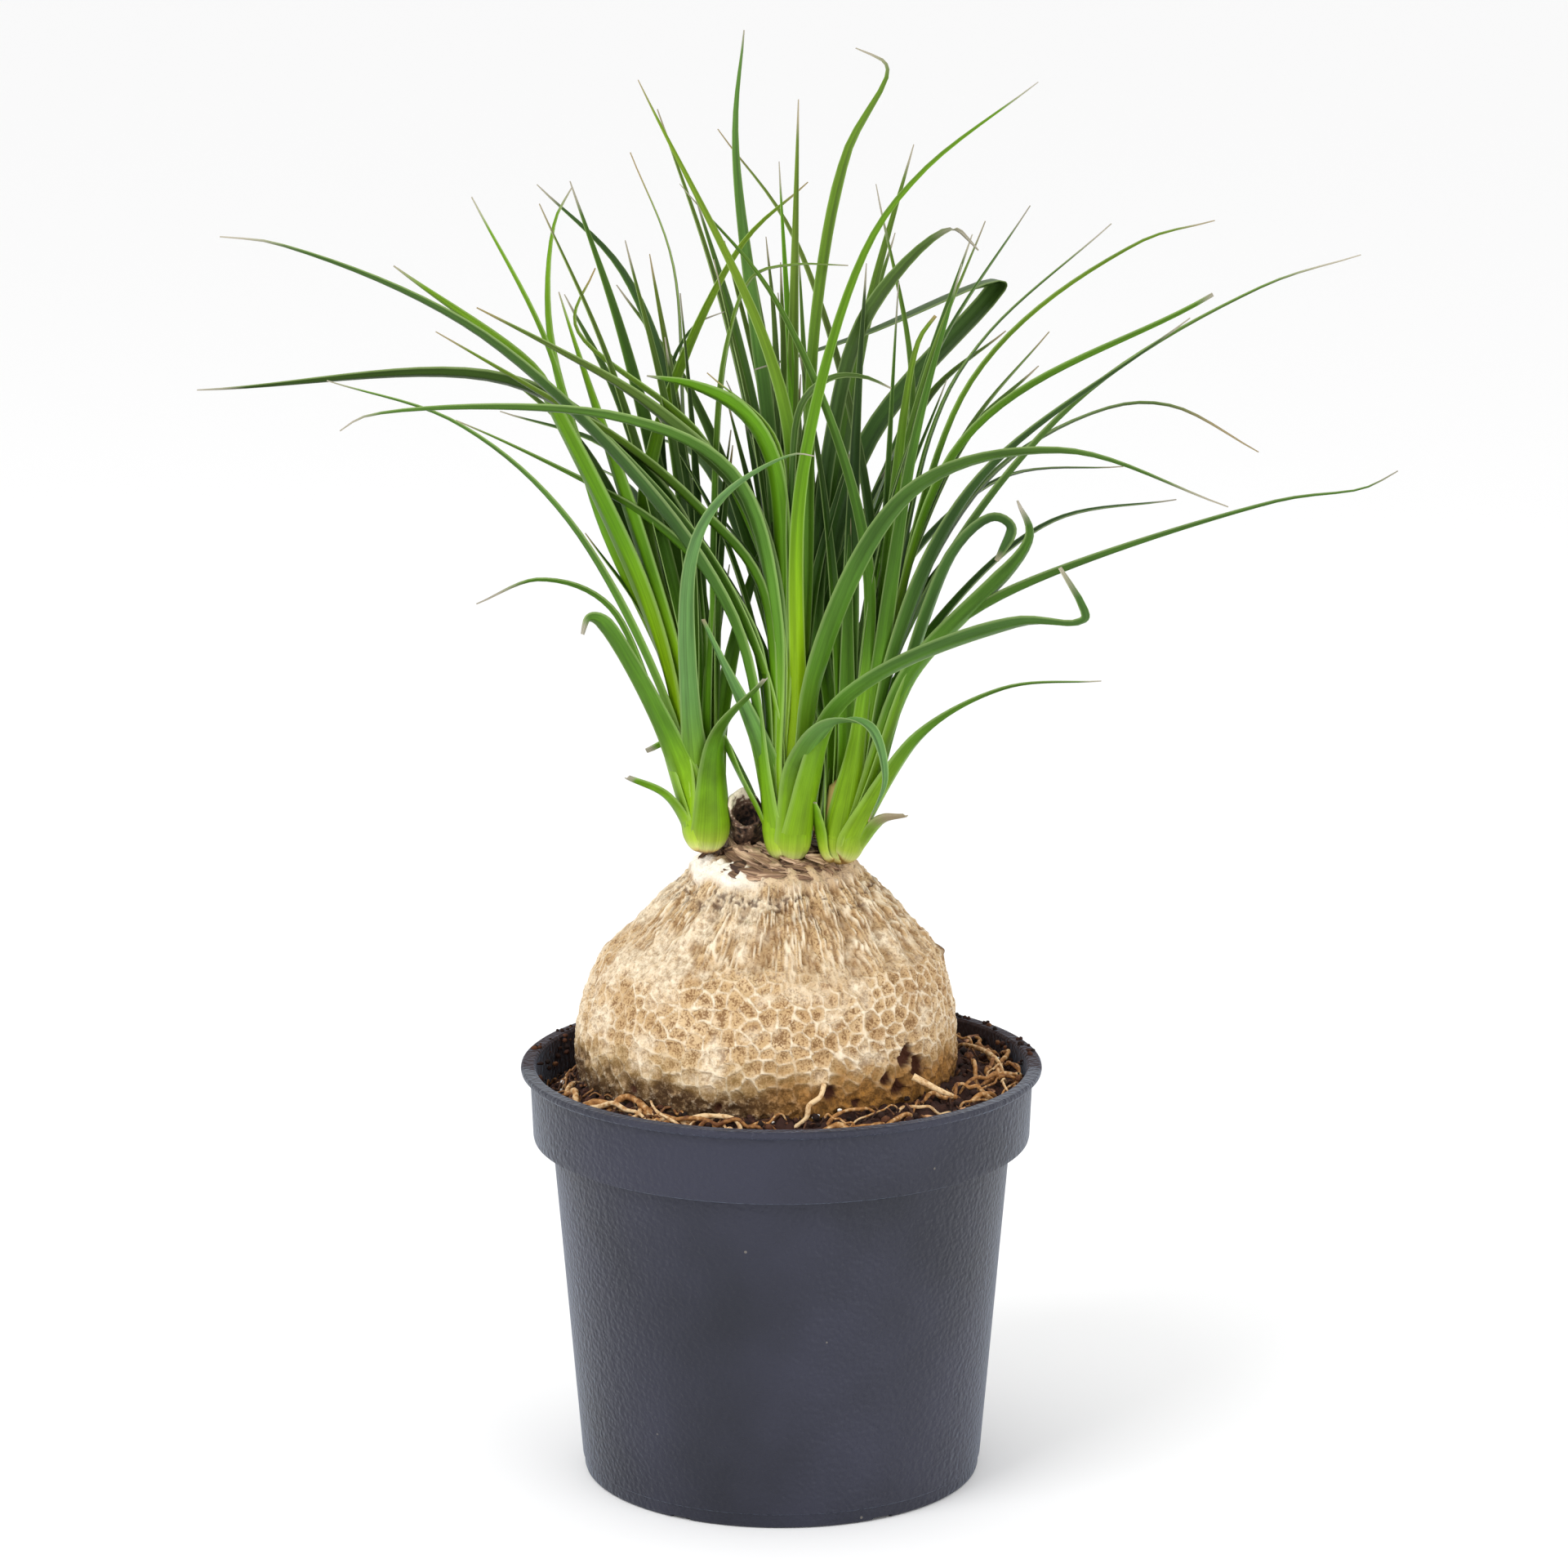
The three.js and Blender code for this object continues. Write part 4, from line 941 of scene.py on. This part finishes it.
class PALM_OT_roots(bpy.types.Operator):
    """Lays stringy roots and fibres on the soil"""
    bl_idname = "palm.roots"
    bl_label = "Surface roots"

    def execute(self, context):
        soil = context.scene.palm_soil
        draw = seeded(21)
        rod = fresh(bpy.ops.mesh.primitive_circle_add, vertices=7, radius=1, fill_type="NGON")
        bpy.ops.object.mode_set(mode="EDIT")
        bpy.ops.mesh.select_all(action="SELECT")
        for _ in range(ROOT_RINGS - 1):
            bpy.ops.mesh.extrude_region_move(TRANSFORM_OT_translate={"value": (0, 0, 1)})
        bpy.ops.mesh.select_all(action="SELECT")
        bpy.ops.mesh.normals_make_consistent(inside=False)
        bpy.ops.object.mode_set(mode="OBJECT")

        def lay(path, thick, tone, seed):
            """A root along its path, knotty and thinner to its end."""
            piece = copy_of(rod)
            unit = places(piece)
            ring = np.rint(unit[:, 2]).astype(int)
            at, place, ahead, across = rings_along(midrib(path, 90), np.array([0.0, 0.0, 1.0]), ROOT_RINGS)
            face = np.cross(ahead, across)
            knots = thick * (1 + 0.25 * unevenness(place, 2.0, seed)) * (1 - 0.55 * (at / at[-1]) ** 3)
            laid = (place[ring] + across[ring] * (knots[ring] * unit[:, 0])[:, None]
                    + face[ring] * (knots[ring] * unit[:, 1])[:, None])
            set_places(piece, laid)
            store(piece, "own", tone)
            return piece

        # Wandering roots that come out of the soil and go in again, most of them in front.
        roots = []
        for i in range(soil.roots):
            frontal = draw() < 0.72
            angle = math.radians(mix(-160, 35, draw()) if frontal else mix(35, 200, draw()))
            out = mix(45.5, 54, draw())
            bearing = angle + math.pi / 2 * (1 if draw() < 0.5 else -1) + mix(-0.5, 0.5, draw())
            bend = mix(-0.09, 0.09, draw())
            spot = np.array([out * math.cos(angle), out * math.sin(angle)])
            span = mix(9, 26, draw())
            tall = mix(0.4, 2.6, draw()) if frontal else mix(0.2, 1.2, draw())
            path = []
            for k in range(8):
                lift = tall * math.sin(math.pi * k / 7) + 0.5 * (draw() - 0.5)
                if k in (0, 7):
                    lift = -1.6
                path.append(on_soil(*spot, lift))
                bearing += bend * span / 7 + mix(-0.32, 0.32, draw())
                spot = spot + span / 7 * np.array([math.cos(bearing), math.sin(bearing)])
                reach = np.hypot(*spot)
                spot = spot * min(max(reach, 44.5), 55.0) / reach
            roots.append(lay(path, mix(0.26, 0.75, draw() ** 1.5), mix(0.1, 0.9, draw()), i))
        # The two pale roots that stand out of the trunk's foot in front.
        roots.append(lay([(9.5, -42.2, 103), (8.6, -43.8, 100.5), (6.2, -44.6, 98.8), (5.6, -45.2, 96.2),
                          (3.0, -46.4, 94.2), (1.0, -47.5, 92)], 0.62, 0.95, 90))
        roots.append(lay([(29.5, -33, 102.2), (33, -33.4, 100.4), (36, -33.3, 98.8), (38.5, -33, 97.8)],
                         0.75, 0.9, 91))
        # Thicker ones that show most from the front.
        for i, (thick, tone, line) in enumerate([
                (1.0, 0.45, [(-47, -24), (-42, -28), (-38, -30), (-33, -34)]),
                (0.85, 0.6, [(-51, -12), (-47, -19), (-46, -27), (-42, -34)]),
                (0.9, 0.35, [(-40, -30), (-35, -30), (-29, -37), (-24, -42)]),
                (0.6, 0.95, [(-22, -42), (-19, -44), (-14, -44), (-10, -47), (-8, -52)]),
                (0.7, 0.5, [(-32, -34), (-25, -41), (-17, -46)]),
                (0.95, 0.4, [(9, -51), (17, -48), (24, -47), (32, -43), (39, -36), (45, -27), (50, -17)]),
                (0.7, 0.55, [(16, -52), (26, -48), (36, -42)]),
                (0.8, 0.5, [(50, 20), (48, 12), (50, 0), (48, -10)])]):
            path = [on_soil(x, y, 0.9 + 0.5 * (k % 2)) for k, (x, y) in enumerate(line)]
            path[0], path[-1] = (*line[0], path[0][2] - 2.4), (*line[-1], path[-1][2] - 2.4)
            roots.append(lay(path, thick, tone, 60 + i))
        finish_piece(join("stringy_roots", roots),
                     dry_fibre("stringy root", ("#6a3f1e", "#ab7840", "#e3c496")))

        # Short threads of peat, all round.
        fibres = []
        for i in range(FIBRES):
            x, y, angle = spot_on_soil(draw, 44, 55)
            bearing = 2 * math.pi * draw()
            span = mix(3, 8, draw())
            path = []
            for k in range(5):
                lift = mix(-0.3, 1.3, draw())
                path.append(on_soil(x, y, lift))
                bearing += mix(-0.6, 0.6, draw())
                x, y = x + span / 4 * math.cos(bearing), y + span / 4 * math.sin(bearing)
                reach = math.hypot(x, y)
                x, y = x * min(reach, 55.0) / reach, y * min(reach, 55.0) / reach
            fibres.append(lay(path, mix(0.12, 0.3, draw()), draw(), 100 + i))
        discard(rod)
        finish_piece(join("peat_fibres", fibres),
                     dry_fibre("peat fibre", ("#2a1710", "#5d3a22", "#9a6c40")))
        return {"FINISHED"}


# ---- Shoots ----

# How a leaf ends: the share of its width left at the tip, and the share of its length at full width.
THREAD, BROAD, CUT, LATE, PINCHED = (0.055, 0.42), (0.06, 0.6), (0.5, 0.5), (0.1, 0.8), (0.2, 0.4)
# A shoot's neck of clasping leaf bases, from its rounded foot up: radius, height.
NECK = [(1.6, -1.0), (3.1, -0.4), (4.2, 0.8), (5.0, 2.8), (5.4, 6), (5.3, 10), (4.8, 18), (3.4, 28)]
# A leaf's age from 0 to 1, and how strong the blue-grey bloom on it is.
YOUNG, FRESH, GROWN, OLD, BLOOMY = (0.04, 0), (0.28, 0.03), (0.55, 0.1), (0.9, 0.15), (0.7, 0.75)

# Each leaf: its heading in degrees (0 is +X, 90 is away from the viewer), its width, its roll
# towards its tip, what is left of its width at the tip, its age and bloom, how far its tip has
# dried, and the places that its midrib passes: out, up and to the left, from the shoot's foot.
SHOOTS = {
    "left": {
        "foot": (-17, -5, 148),
        "raised": (0, 0.6),
        "leaves": [
            (205, 4.7, 55, (0.35, 0.88), GROWN, 0.06, (6, 18), (20, 47), (26, 55), (28.5, 55.5), (30, 52)),
            (165, 3.5, 30, CUT, FRESH, 0.08, (6, 25), (14, 22)),
            (200, 4.5, 20, CUT, GROWN, 0.08, (10, 13), (19, 18)),
            (184, 5, 25, THREAD, GROWN, 0.05, (5, 21), (30, 75), (55, 98), (84, 108)),
            (174, 6.8, 60, BROAD, YOUNG, 0.04, (7, 32), (15, 60), (34, 100), (39, 109), (70, 132)),
            (170, 4, 30, (0.08, 0.6), (0.6, 0), 0.15, (22, 55), (38, 61), (53, 55)),
            (158, 6.5, 50, THREAD, YOUNG, 0.05, (7, 34), (26, 74), (39, 114), (57, 146)),
            (145, 5.2, 60, (0.08, 0.66), YOUNG, 0.04, (3, 21), (15, 51), (34, 85), (44, 116), (42, 140),
             (37, 148)),
            (165, 5.6, 60, BROAD, YOUNG, 0.04, (2, 21), (34, 126)),
            (90, 5.5, 0, THREAD, OLD, 0.05, (3, 33, 1), (19, 100, 8), (29, 128, 19), (40, 147, 39)),
            (90, 5.5, 30, THREAD, YOUNG, 0.05, (2, 36, 4), (8, 78, 14), (20, 134, -7), (25, 149, -23)),
            (90, 4, 30, THREAD, OLD, 0.08, (2, 21, 1), (21, 100, 10), (27, 116, 3), (30, 119, -4)),
            (90, 4, 80, THREAD, OLD, 0.1, (5, 35, -1), (23, 90, 5), (41, 129, 8), (55, 153, 18)),
            (270, 5, 0, THREAD, BLOOMY, 0.05, (2, 16, -2), (24, 70, -3), (34, 86, 4), (49, 98, 20),
             (52, 98, 24)),
            (300, 4.8, 10, (0.35, 0.6), OLD, 0.05, (5, 26), (27, 44)),
            (5, 3.2, 20, (0.06, 0.7), GROWN, 0.03, (2, 70), (5, 115), (11, 130.5), (20, 132.9), (32, 132.6)),
        ],
        "hidden": (5, (108, 160), (75, 35), (120, 165), 2),
    },
    "middle": {
        "foot": (1.5, -9, 147),
        "raised": (0, 0.2),
        "leaves": [
            (190, 6, 35, THREAD, OLD, 0.08, (13, 56), (65, 118), (112, 141), (125, 143)),
            (181, 5, 30, THREAD, GROWN, 0.08, (2, 28), (17, 68), (59, 113), (86, 130)),
            (178, 5.4, 48, BROAD, (0.95, 0), 0.05, (7, 49), (21, 72), (30, 86), (61, 108), (132, 106)),
            (198, 4.9, 42, BROAD, (0.6, 0.15), 0.06, (3, 55), (13, 88), (39, 102), (96, 105), (102, 102)),
            (180, 6, 52, BROAD, OLD, 0.05, (3, 60), (10, 83), (19, 93), (34, 105.5), (52, 116), (69, 125)),
            (182, 4, 45, BROAD, (0.7, 0), 0.06, (6, 62), (20, 80), (37, 95), (53.5, 105.3), (78, 120)),
            (180, 5.4, 60, (0.08, 0.85), YOUNG, 0.03, (1, 60), (4, 92), (11, 102.4), (21, 107.6),
             (31.4, 109.8)),
            (180, 4.2, 30, THREAD, FRESH, 0.05, (1, 70), (3, 96), (18, 110.5)),
            (167, 4, 45, BROAD, (0.6, 0), 0.05, (8, 49), (20, 66), (33, 77), (44, 83), (66, 93), (77, 97.4)),
            (160, 5.2, 35, (0.08, 0.66), FRESH, 0.05, (2, 54), (20, 94), (51, 119), (46, 132)),
            (90, 4.6, 0, THREAD, FRESH, 0.04, (1, 91, -1), (1, 117, 5), (2, 175, 33)),
            (90, 4.4, 20, (0.08, 0.62), (0.45, 0.3), 0.03, (3, 35, 1), (14, 91, 4), (36, 159, 12),
             (45, 183, 10)),
            (90, 4, 10, THREAD, YOUNG, 0.06, (4, 74, -2), (14, 156, 2)),
            (90, 4.5, 0, THREAD, OLD, 0.06, (4, 35, 1), (27, 117, 3), (35, 137, 5)),
            (90, 3.1, 0, LATE, (0.42, 0.05), 0.06, (2, 54, -4), (7, 120, -6), (11, 158, -13), (14, 177, -22),
             (15, 181, -15)),
            (270, 5.2, 0, (0.04, 0.15), YOUNG, 0.05, (1, 32, 2), (5, 87, 3), (11, 139, 17), (13, 156, 29),
             (18, 176, 54)),
            (90, 4.2, 0, LATE, OLD, 0.09, (2, 35, -5), (10, 90, -9), (17, 122, -18), (23, 140, -37),
             (25, 135, -43)),
            (330, 7, -40, (0.05, 0.28), (0.65, 0.15), 0.1, (7, 42), (31, 86), (68, 98), (108, 89)),
            (320, 5, -40, (0.2, 0.7), (0.7, 0.2), 0.05, (13, 35), (64, 61.5), (80.5, 63.4), (83, 65),
             (81.8, 68), (76, 75)),
            (305, 6.5, -10, THREAD, BLOOMY, 0.04, (5, 22), (17, 34), (32, 35), (37, 25), (31, 14)),
            (0, 2.6, 35, (0.2, 0.85), OLD, 0.03, (1, 85), (3.5, 104), (9.9, 109.4), (17, 109.5), (22.9, 107)),
            (198, 4.8, 45, (0.25, 0.35), BLOOMY, 0.03, (5, 21), (20, 56)),
            (163, 5.5, 20, LATE, OLD, 0.03, (12, 20), (17, 31)),
        ],
        "hidden": (3, (70, 110), (24, 12), (150, 180), 11),
    },
    "right": {
        "foot": (14.5, -9, 146),
        "raised": (-1.3, 0.8),
        "leaves": [
            (270, 3.4, 0, THREAD, GROWN, 0.06, (-1, 67, 5), (-3, 126, -15), (-4, 153, -37)),
            (90, 4, 40, THREAD, OLD, 0.08, (9, 69, -6), (29, 137, 11), (40, 162, 29)),
            (90, 3.5, 30, THREAD, GROWN, 0.1, (7, 54, -8), (19, 105, -15), (35, 150, -7)),
            (90, 3.5, 50, THREAD, GROWN, 0.1, (2, 33, -5), (24, 129, -12)),
            (270, 4.8, 0, PINCHED, FRESH, 0.02, (-1, 29, 5), (-9, 117, 16), (-10, 123, 20)),
            (270, 4.5, 0, THREAD, GROWN, 0.06, (1, 30, 5), (7, 97, 15), (12, 137, 25)),
            (30, 4.5, -30, THREAD, GROWN, 0.1, (22, 96), (35, 116), (70, 141)),
            (15, 5, -40, THREAD, YOUNG, 0.06, (28, 107), (67, 138), (86, 143)),
            (5, 5, -30, CUT, YOUNG, 0.02, (25, 94), (82, 128)),
            (352, 6, -40, THREAD, OLD, 0.06, (11, 48), (29, 87), (76, 125)),
            (12, 5, -30, THREAD, GROWN, 0.12, (12, 48), (50, 101), (95, 128), (119, 135)),
            (22, 5, -20, THREAD, OLD, 0.18, (12, 49), (35, 86), (63, 100), (80, 100), (103, 88)),
            (343, 5, -30, THREAD, GROWN, 0.04, (16, 45), (31, 60), (97, 87), (117, 91), (124, 95)),
            (358, 5.2, -36, (0.4, 0.94), (0.8, 0.3), 0.02, (24, 71), (33, 79), (36.5, 77), (33.5, 69.5)),
            (340, 6, -40, LATE, GROWN, 0.06, (14, 42), (43, 77), (40, 85)),
            (330, 4, -20, THREAD, GROWN, 0.06, (18, 30), (40, 44), (64, 48)),
            (340, 4.5, -20, (0.6, 0.8), (1.0, 0), 0.5, (9, 9.5), (15, 11.5)),
            (195, 6, 0, (0.8, 0.9), FRESH, 0.03, (5.8, 7), (7.6, 14.5)),
        ],
        "hidden": (5, (22, 62), (85, 45), (120, 165), 5),
    },
    "back": {
        "foot": (5, 13, 146),
        "raised": (0, 0),
        "leaves": [
            (50, 6, 18, (0.1, 0.75), OLD, 0.03, (10, 65), (24, 91), (68, 119), (72, 122.3), (69, 123.2),
             (19, 115), (-17, 111)),
            (90, 4, 0, THREAD, OLD, 0.06, (2, 19, -1), (17, 69, 2), (50, 135, 13)),
            (90, 4, 0, THREAD, GROWN, 0.06, (1, 19, -2), (12, 70, -2), (35, 133, 1)),
        ],
        "hidden": (12, (25, 160), (92, 45), (125, 180), 7),
    },
}
INNER_LEAVES = 9  # the extra leaves in the thick of each shoot
LEAF_ACROSS, LEAF_RINGS = 8, 48  # the faces across a blade, and the rings along it
LEAF_SPREAD = 0.86  # a blade's width over the width listed, as it is folded along its middle
LEAF_TAPER = 0.9  # under 1, a tip is rounder
# What the leaves' material reads from each vertex, and what a neck holds there where it isn't 0.
LEAF_READINGS = ("age", "foot", "dry", "edge", "half", "bloom", "sun", "own")
NECK_READINGS = {"age": 0.3, "foot": 0.85, "own": 1}


def hidden_leaves(count, sector, reach, rise, seed):
    """The leaves on a shoot's far side: the outer ones reach far and sag, the inner ones stand."""
    draw = seeded(seed)
    leaves = []
    for i in range(count):
        heading = mix(*sector, (i * 0.618 + draw() * 0.15) % 1)
        inner = (i + 0.5) / count
        out = mix(*reach, inner) + draw() * 16 - 8
        up = mix(*rise, inner) + draw() * 16 - 8
        sag = 0.5 * (1 - inner) + 0.15 * draw()
        stations = [(out * s ** 1.5, 6 + up * (s - 0.75 * sag * s ** 3)) for s in (0.2, 0.45, 0.72, 1)]
        width = 5 + draw()
        # Their dark green is partly age, the outer ones being older, and partly painted shade on the shoot's
        # far side.
        leaves.append((heading, width, draw() * 50 - 25, THREAD, (mix(0.95, 0.6, inner), 0.08), 0.06,
                       *stations))
    return leaves


def inner_leaves(seed):
    """Shorter leaves in the thick of a shoot, which fill it; they are given an old leaf's dark green as
    painted shade.
    """
    draw = seeded(seed)
    leaves = []
    for i in range(INNER_LEAVES):
        heading = mix(15, 165, (i * 0.618 + 0.2 * draw()) % 1)
        out, up = mix(6, 42, draw()), mix(62, 140, draw())
        stations = [(0.12 * out, 0.3 * up), (0.45 * out, 0.7 * up), (out, up)]
        leaves.append((heading, mix(3.8, 5.4, draw()), draw() * 80 - 40, THREAD,
                       (mix(0.8, 1, draw()), 0.05), 0.06, *stations))
    return leaves


def neck_radius(height):
    """The radius of a shoot's neck so far above its foot."""
    return np.interp(height, [h for _, h in NECK], [r for r, _ in NECK])


def lay_leaf(master, foot, raised, leaf, number, thickness):
    """A copy of the flat blade, laid along its midrib, clasping its shoot and tapering to its tip."""
    heading, width, roll, tip, (age, bloom), dry, *stations = leaf
    turned = math.radians(heading)
    away = np.array([math.cos(turned), math.sin(turned), 0])
    side = np.array([-away[1], away[0], 0])
    stations = [(*s, 0)[:3] for s in stations]
    # Outer leaves clasp the neck, inner ones stand closer to its middle.
    out_at_30 = np.interp(30, [4, *(s[1] for s in stations[:2])], [0.6, *(s[0] for s in stations[:2])])
    layer = float(np.clip(0.4 + 0.6 * (out_at_30 - 1) / 7, 0.4, 1))
    if 180 < heading < 360:
        layer = max(layer, 0.8)
    base = [(float(neck_radius(h)) * layer, h, 0) for h in (-1.0, -0.4, 0.8, 2.8, 6)
            if h < stations[0][1] - 4]
    path = [np.array(foot) + away * out + side * left + np.array([0, 0, up])
            + np.array([raised[0], 0, raised[1]]) * max(0, 1 - up / 20) for out, up, left in base + stations]
    curve = midrib(path)
    at, place, ahead, across = rings_along(curve, side, LEAF_RINGS, 10.0, lambda s: 1.2 * (s < 26))
    share = at / at[-1]
    draw = seeded(number * 7 + 1)
    sway = math.radians(7) * np.sin(share * mix(5, 9, draw()) + 6 * draw()) * smooth(share, 0.2, 0.6)
    across = turned_about(across, ahead, math.radians(roll) * smooth(share, 0.05, 0.45) + sway)
    face = np.cross(ahead, across)
    taper = mix(tip[0], 1, np.minimum(1, (1 - share) / (1 - tip[1])) ** LEAF_TAPER)
    blade = width * LEAF_SPREAD / 2 * taper
    ground = place[:, 2] - foot[2]
    grip = np.maximum(1.2, neck_radius(np.clip(ground, -1.0, 28)) * layer)
    opened = smooth(at, 6, 32)
    if at[-1] > 40:
        half = mix(1.3 * grip, blade, smooth(at, 3, 55) ** 0.6)
    else:
        half = np.minimum(blade * 1.3, 1.3 * grip)

    piece = copy_of(master)
    unit = places(piece)
    ring = np.rint((unit[:, 1] + 1) / 2 * (LEAF_RINGS - 1)).astype(int)
    u, h, g, c = unit[:, 0], half[ring], grip[ring], opened[ring]
    bow = u * h / g
    clasp_side, clasp_up = g * np.sin(bow), g * (1 - np.cos(bow))
    open_side, open_up = u * h * 0.93, 0.42 * h * (np.abs(u) ** 1.15 - 0.5)
    thick = thickness / 2 * mix(0.55, 1, taper[ring]) * (1 - 0.45 * np.abs(u) ** 3)
    lean = bow * (1 - c)
    sideways = mix(clasp_side, open_side, c) - unit[:, 2] * thick * np.sin(lean)
    outwards = mix(clasp_up, open_up, c) + unit[:, 2] * thick * np.cos(lean)
    set_places(piece, place[ring] + across[ring] * sideways[:, None] + face[ring] * outwards[:, None])
    # This reading carries painted shade as well as age: the leaves in the thick are given an old leaf's age
    # so that they come out dark.
    ripeness_and_shade = age * (0.45 + 0.55 * smooth(at, 10, 90)) + 0.5 * (1 - age) * smooth(share, 0.12, 0.55)
    readings = (np.clip(ripeness_and_shade, 0, 1)[ring], np.exp(-at / 10.5)[ring],
                smooth(share, 1 - dry, 1 - dry * 0.3)[ring], smooth(np.abs(u), 0.86, 1.0), u,
                bloom * smooth(at, 15, 45)[ring], 0.4 * smooth(place[:, 2], 215, 290)[ring], draw() * 10)
    for reading, values in zip(LEAF_READINGS, readings):
        store(piece, reading, values)
    return piece


class PALM_OT_shoots(bpy.types.Operator):
    """Grows the four shoots: one blade is modelled, then copied and laid along each leaf's midrib"""
    bl_idname = "palm.shoots"
    bl_label = "Shoots"

    def execute(self, context):
        leaf = context.scene.palm_leaf
        skin = leaf_skin(leaf)
        master = fresh(bpy.ops.mesh.primitive_grid_add, x_subdivisions=LEAF_ACROSS,
                       y_subdivisions=LEAF_RINGS - 1, size=2)
        apply_modifier(master, "SOLIDIFY", thickness=2.0, offset=0.0)
        number = 0
        for name, shoot in SHOOTS.items():
            blades = []
            hidden = hidden_leaves(*shoot["hidden"]) + inner_leaves(len(name) * 13)
            for each in [*shoot["leaves"], *hidden]:
                number += 1
                blades.append(lay_leaf(master, shoot["foot"], shoot["raised"], each, number,
                                       leaf.thickness / MM))
            neck = turn("neck", [(0, -1.4), *((r * 0.72, h * 0.6) for r, h in NECK), (0, 19)], 24)
            shift = Vector(shoot["foot"]) + Vector((shoot["raised"][0], 0, shoot["raised"][1]))
            neck.data.transform(Matrix.Translation(shift * MM))
            for reading in LEAF_READINGS:
                store(neck, reading, NECK_READINGS.get(reading, 0))
            piece = join(f"leaves_{name}", [*blades, neck])
            finish_piece(piece, skin, stands_for=f"shoot_{name}", angle=50)
        discard(master)
        return {"FINISHED"}


# ---- Stage ----

# Where the photograph was taken from, in metres, how far it looks down in degrees, and its lens.
CAMERA_PLACE = (0.0006, -1.129, 0.406)
CAMERA_DIP = 12.19
CAMERA_LENS = 116.4
AIM = Vector((0, 0, 0.14))  # where the lights point


class PALM_OT_stage(bpy.types.Operator):
    """Sets up the floor, the soft studio lights and the camera"""
    bl_idname = "palm.stage"
    bl_label = "Stage"

    def execute(self, context):
        stage = context.scene.palm_stage
        floor = fresh(bpy.ops.mesh.primitive_plane_add, size=12, location=(0, 2, 0))
        floor.name = "studio_floor"
        floor.data.materials.append(studio_white(stage))

        world = bpy.data.worlds.new("Soft white room")
        context.scene.world = world
        world.use_nodes = True
        background = world.node_tree.nodes["Background"]
        background.inputs["Color"].default_value = (1, 1, 1, 1)
        # The room is darker behind the camera, so the pot's front stays dark and its sides shine.
        sky = add_node(world.node_tree, "TexCoord", out="Generated")
        ahead = add_node(world.node_tree, "SeparateXYZ", {0: sky}, out="Y")
        glow = add_node(world.node_tree, "MapRange", {"Value": ahead, "From Min": -1.0, "From Max": 0.1,
                                                      "To Min": stage.front, "To Max": 1.04})
        world.node_tree.links.new(glow, background.inputs["Strength"])
        for name, place, watts, size in (("Key", (-0.75, -0.75, 0.95), stage.key, 0.7),
                                         ("Fill", (0.8, -0.85, 0.34), stage.fill, 0.9)):
            light = fresh(bpy.ops.object.light_add, type="AREA", location=place)
            light.name = name
            light.data.energy = watts
            light.data.size = size
            light.rotation_euler = (AIM - Vector(place)).to_track_quat("-Z", "Y").to_euler()

        camera = fresh(bpy.ops.object.camera_add, location=CAMERA_PLACE,
                       rotation=(math.radians(90 - CAMERA_DIP), 0, 0))
        camera.data.sensor_width = 36
        camera.data.lens = CAMERA_LENS
        context.scene.camera = camera
        context.scene.view_settings.view_transform = "Standard"
        return {"FINISHED"}


# ---- Panel ----

STEPS = (PALM_OT_pot, PALM_OT_soil, PALM_OT_roots, PALM_OT_trunk, PALM_OT_crown, PALM_OT_shoots,
         PALM_OT_stage)
SETTINGS = {"palm_pot": PotSettings, "palm_trunk": TrunkSettings, "palm_soil": SoilSettings,
            "palm_leaf": LeafSettings, "palm_stage": StageSettings}


class PALM_PT_panel(bpy.types.Panel):
    """The palm's sizes and colours, and a button for each group of pieces"""
    bl_label = "Potted ponytail palm"
    bl_idname = "PALM_PT_panel"
    bl_space_type = "VIEW_3D"
    bl_region_type = "UI"
    bl_category = "Palm"

    def draw(self, context):
        for name, group in SETTINGS.items():
            box = self.layout.box()
            box.label(text=group.__name__.replace("Settings", ""))
            for key in group.__annotations__:
                box.prop(getattr(context.scene, name), key)
        for step in STEPS:
            self.layout.operator(step.bl_idname)


def register():
    for each in (*SETTINGS.values(), *STEPS, PALM_PT_panel):
        bpy.utils.register_class(each)
    for name, group in SETTINGS.items():
        setattr(bpy.types.Scene, name, bpy.props.PointerProperty(type=group))


def unregister():
    for name in SETTINGS:
        delattr(bpy.types.Scene, name)
    for each in (PALM_PT_panel, *STEPS, *SETTINGS.values()):
        bpy.utils.unregister_class(each)


def main():
    register()
    bpy.ops.palm.pot()
    bpy.ops.palm.soil()
    bpy.ops.palm.roots()
    bpy.ops.palm.trunk()
    bpy.ops.palm.crown()
    bpy.ops.palm.shoots()
    bpy.ops.palm.stage()


if __name__ == "__main__":
    main()
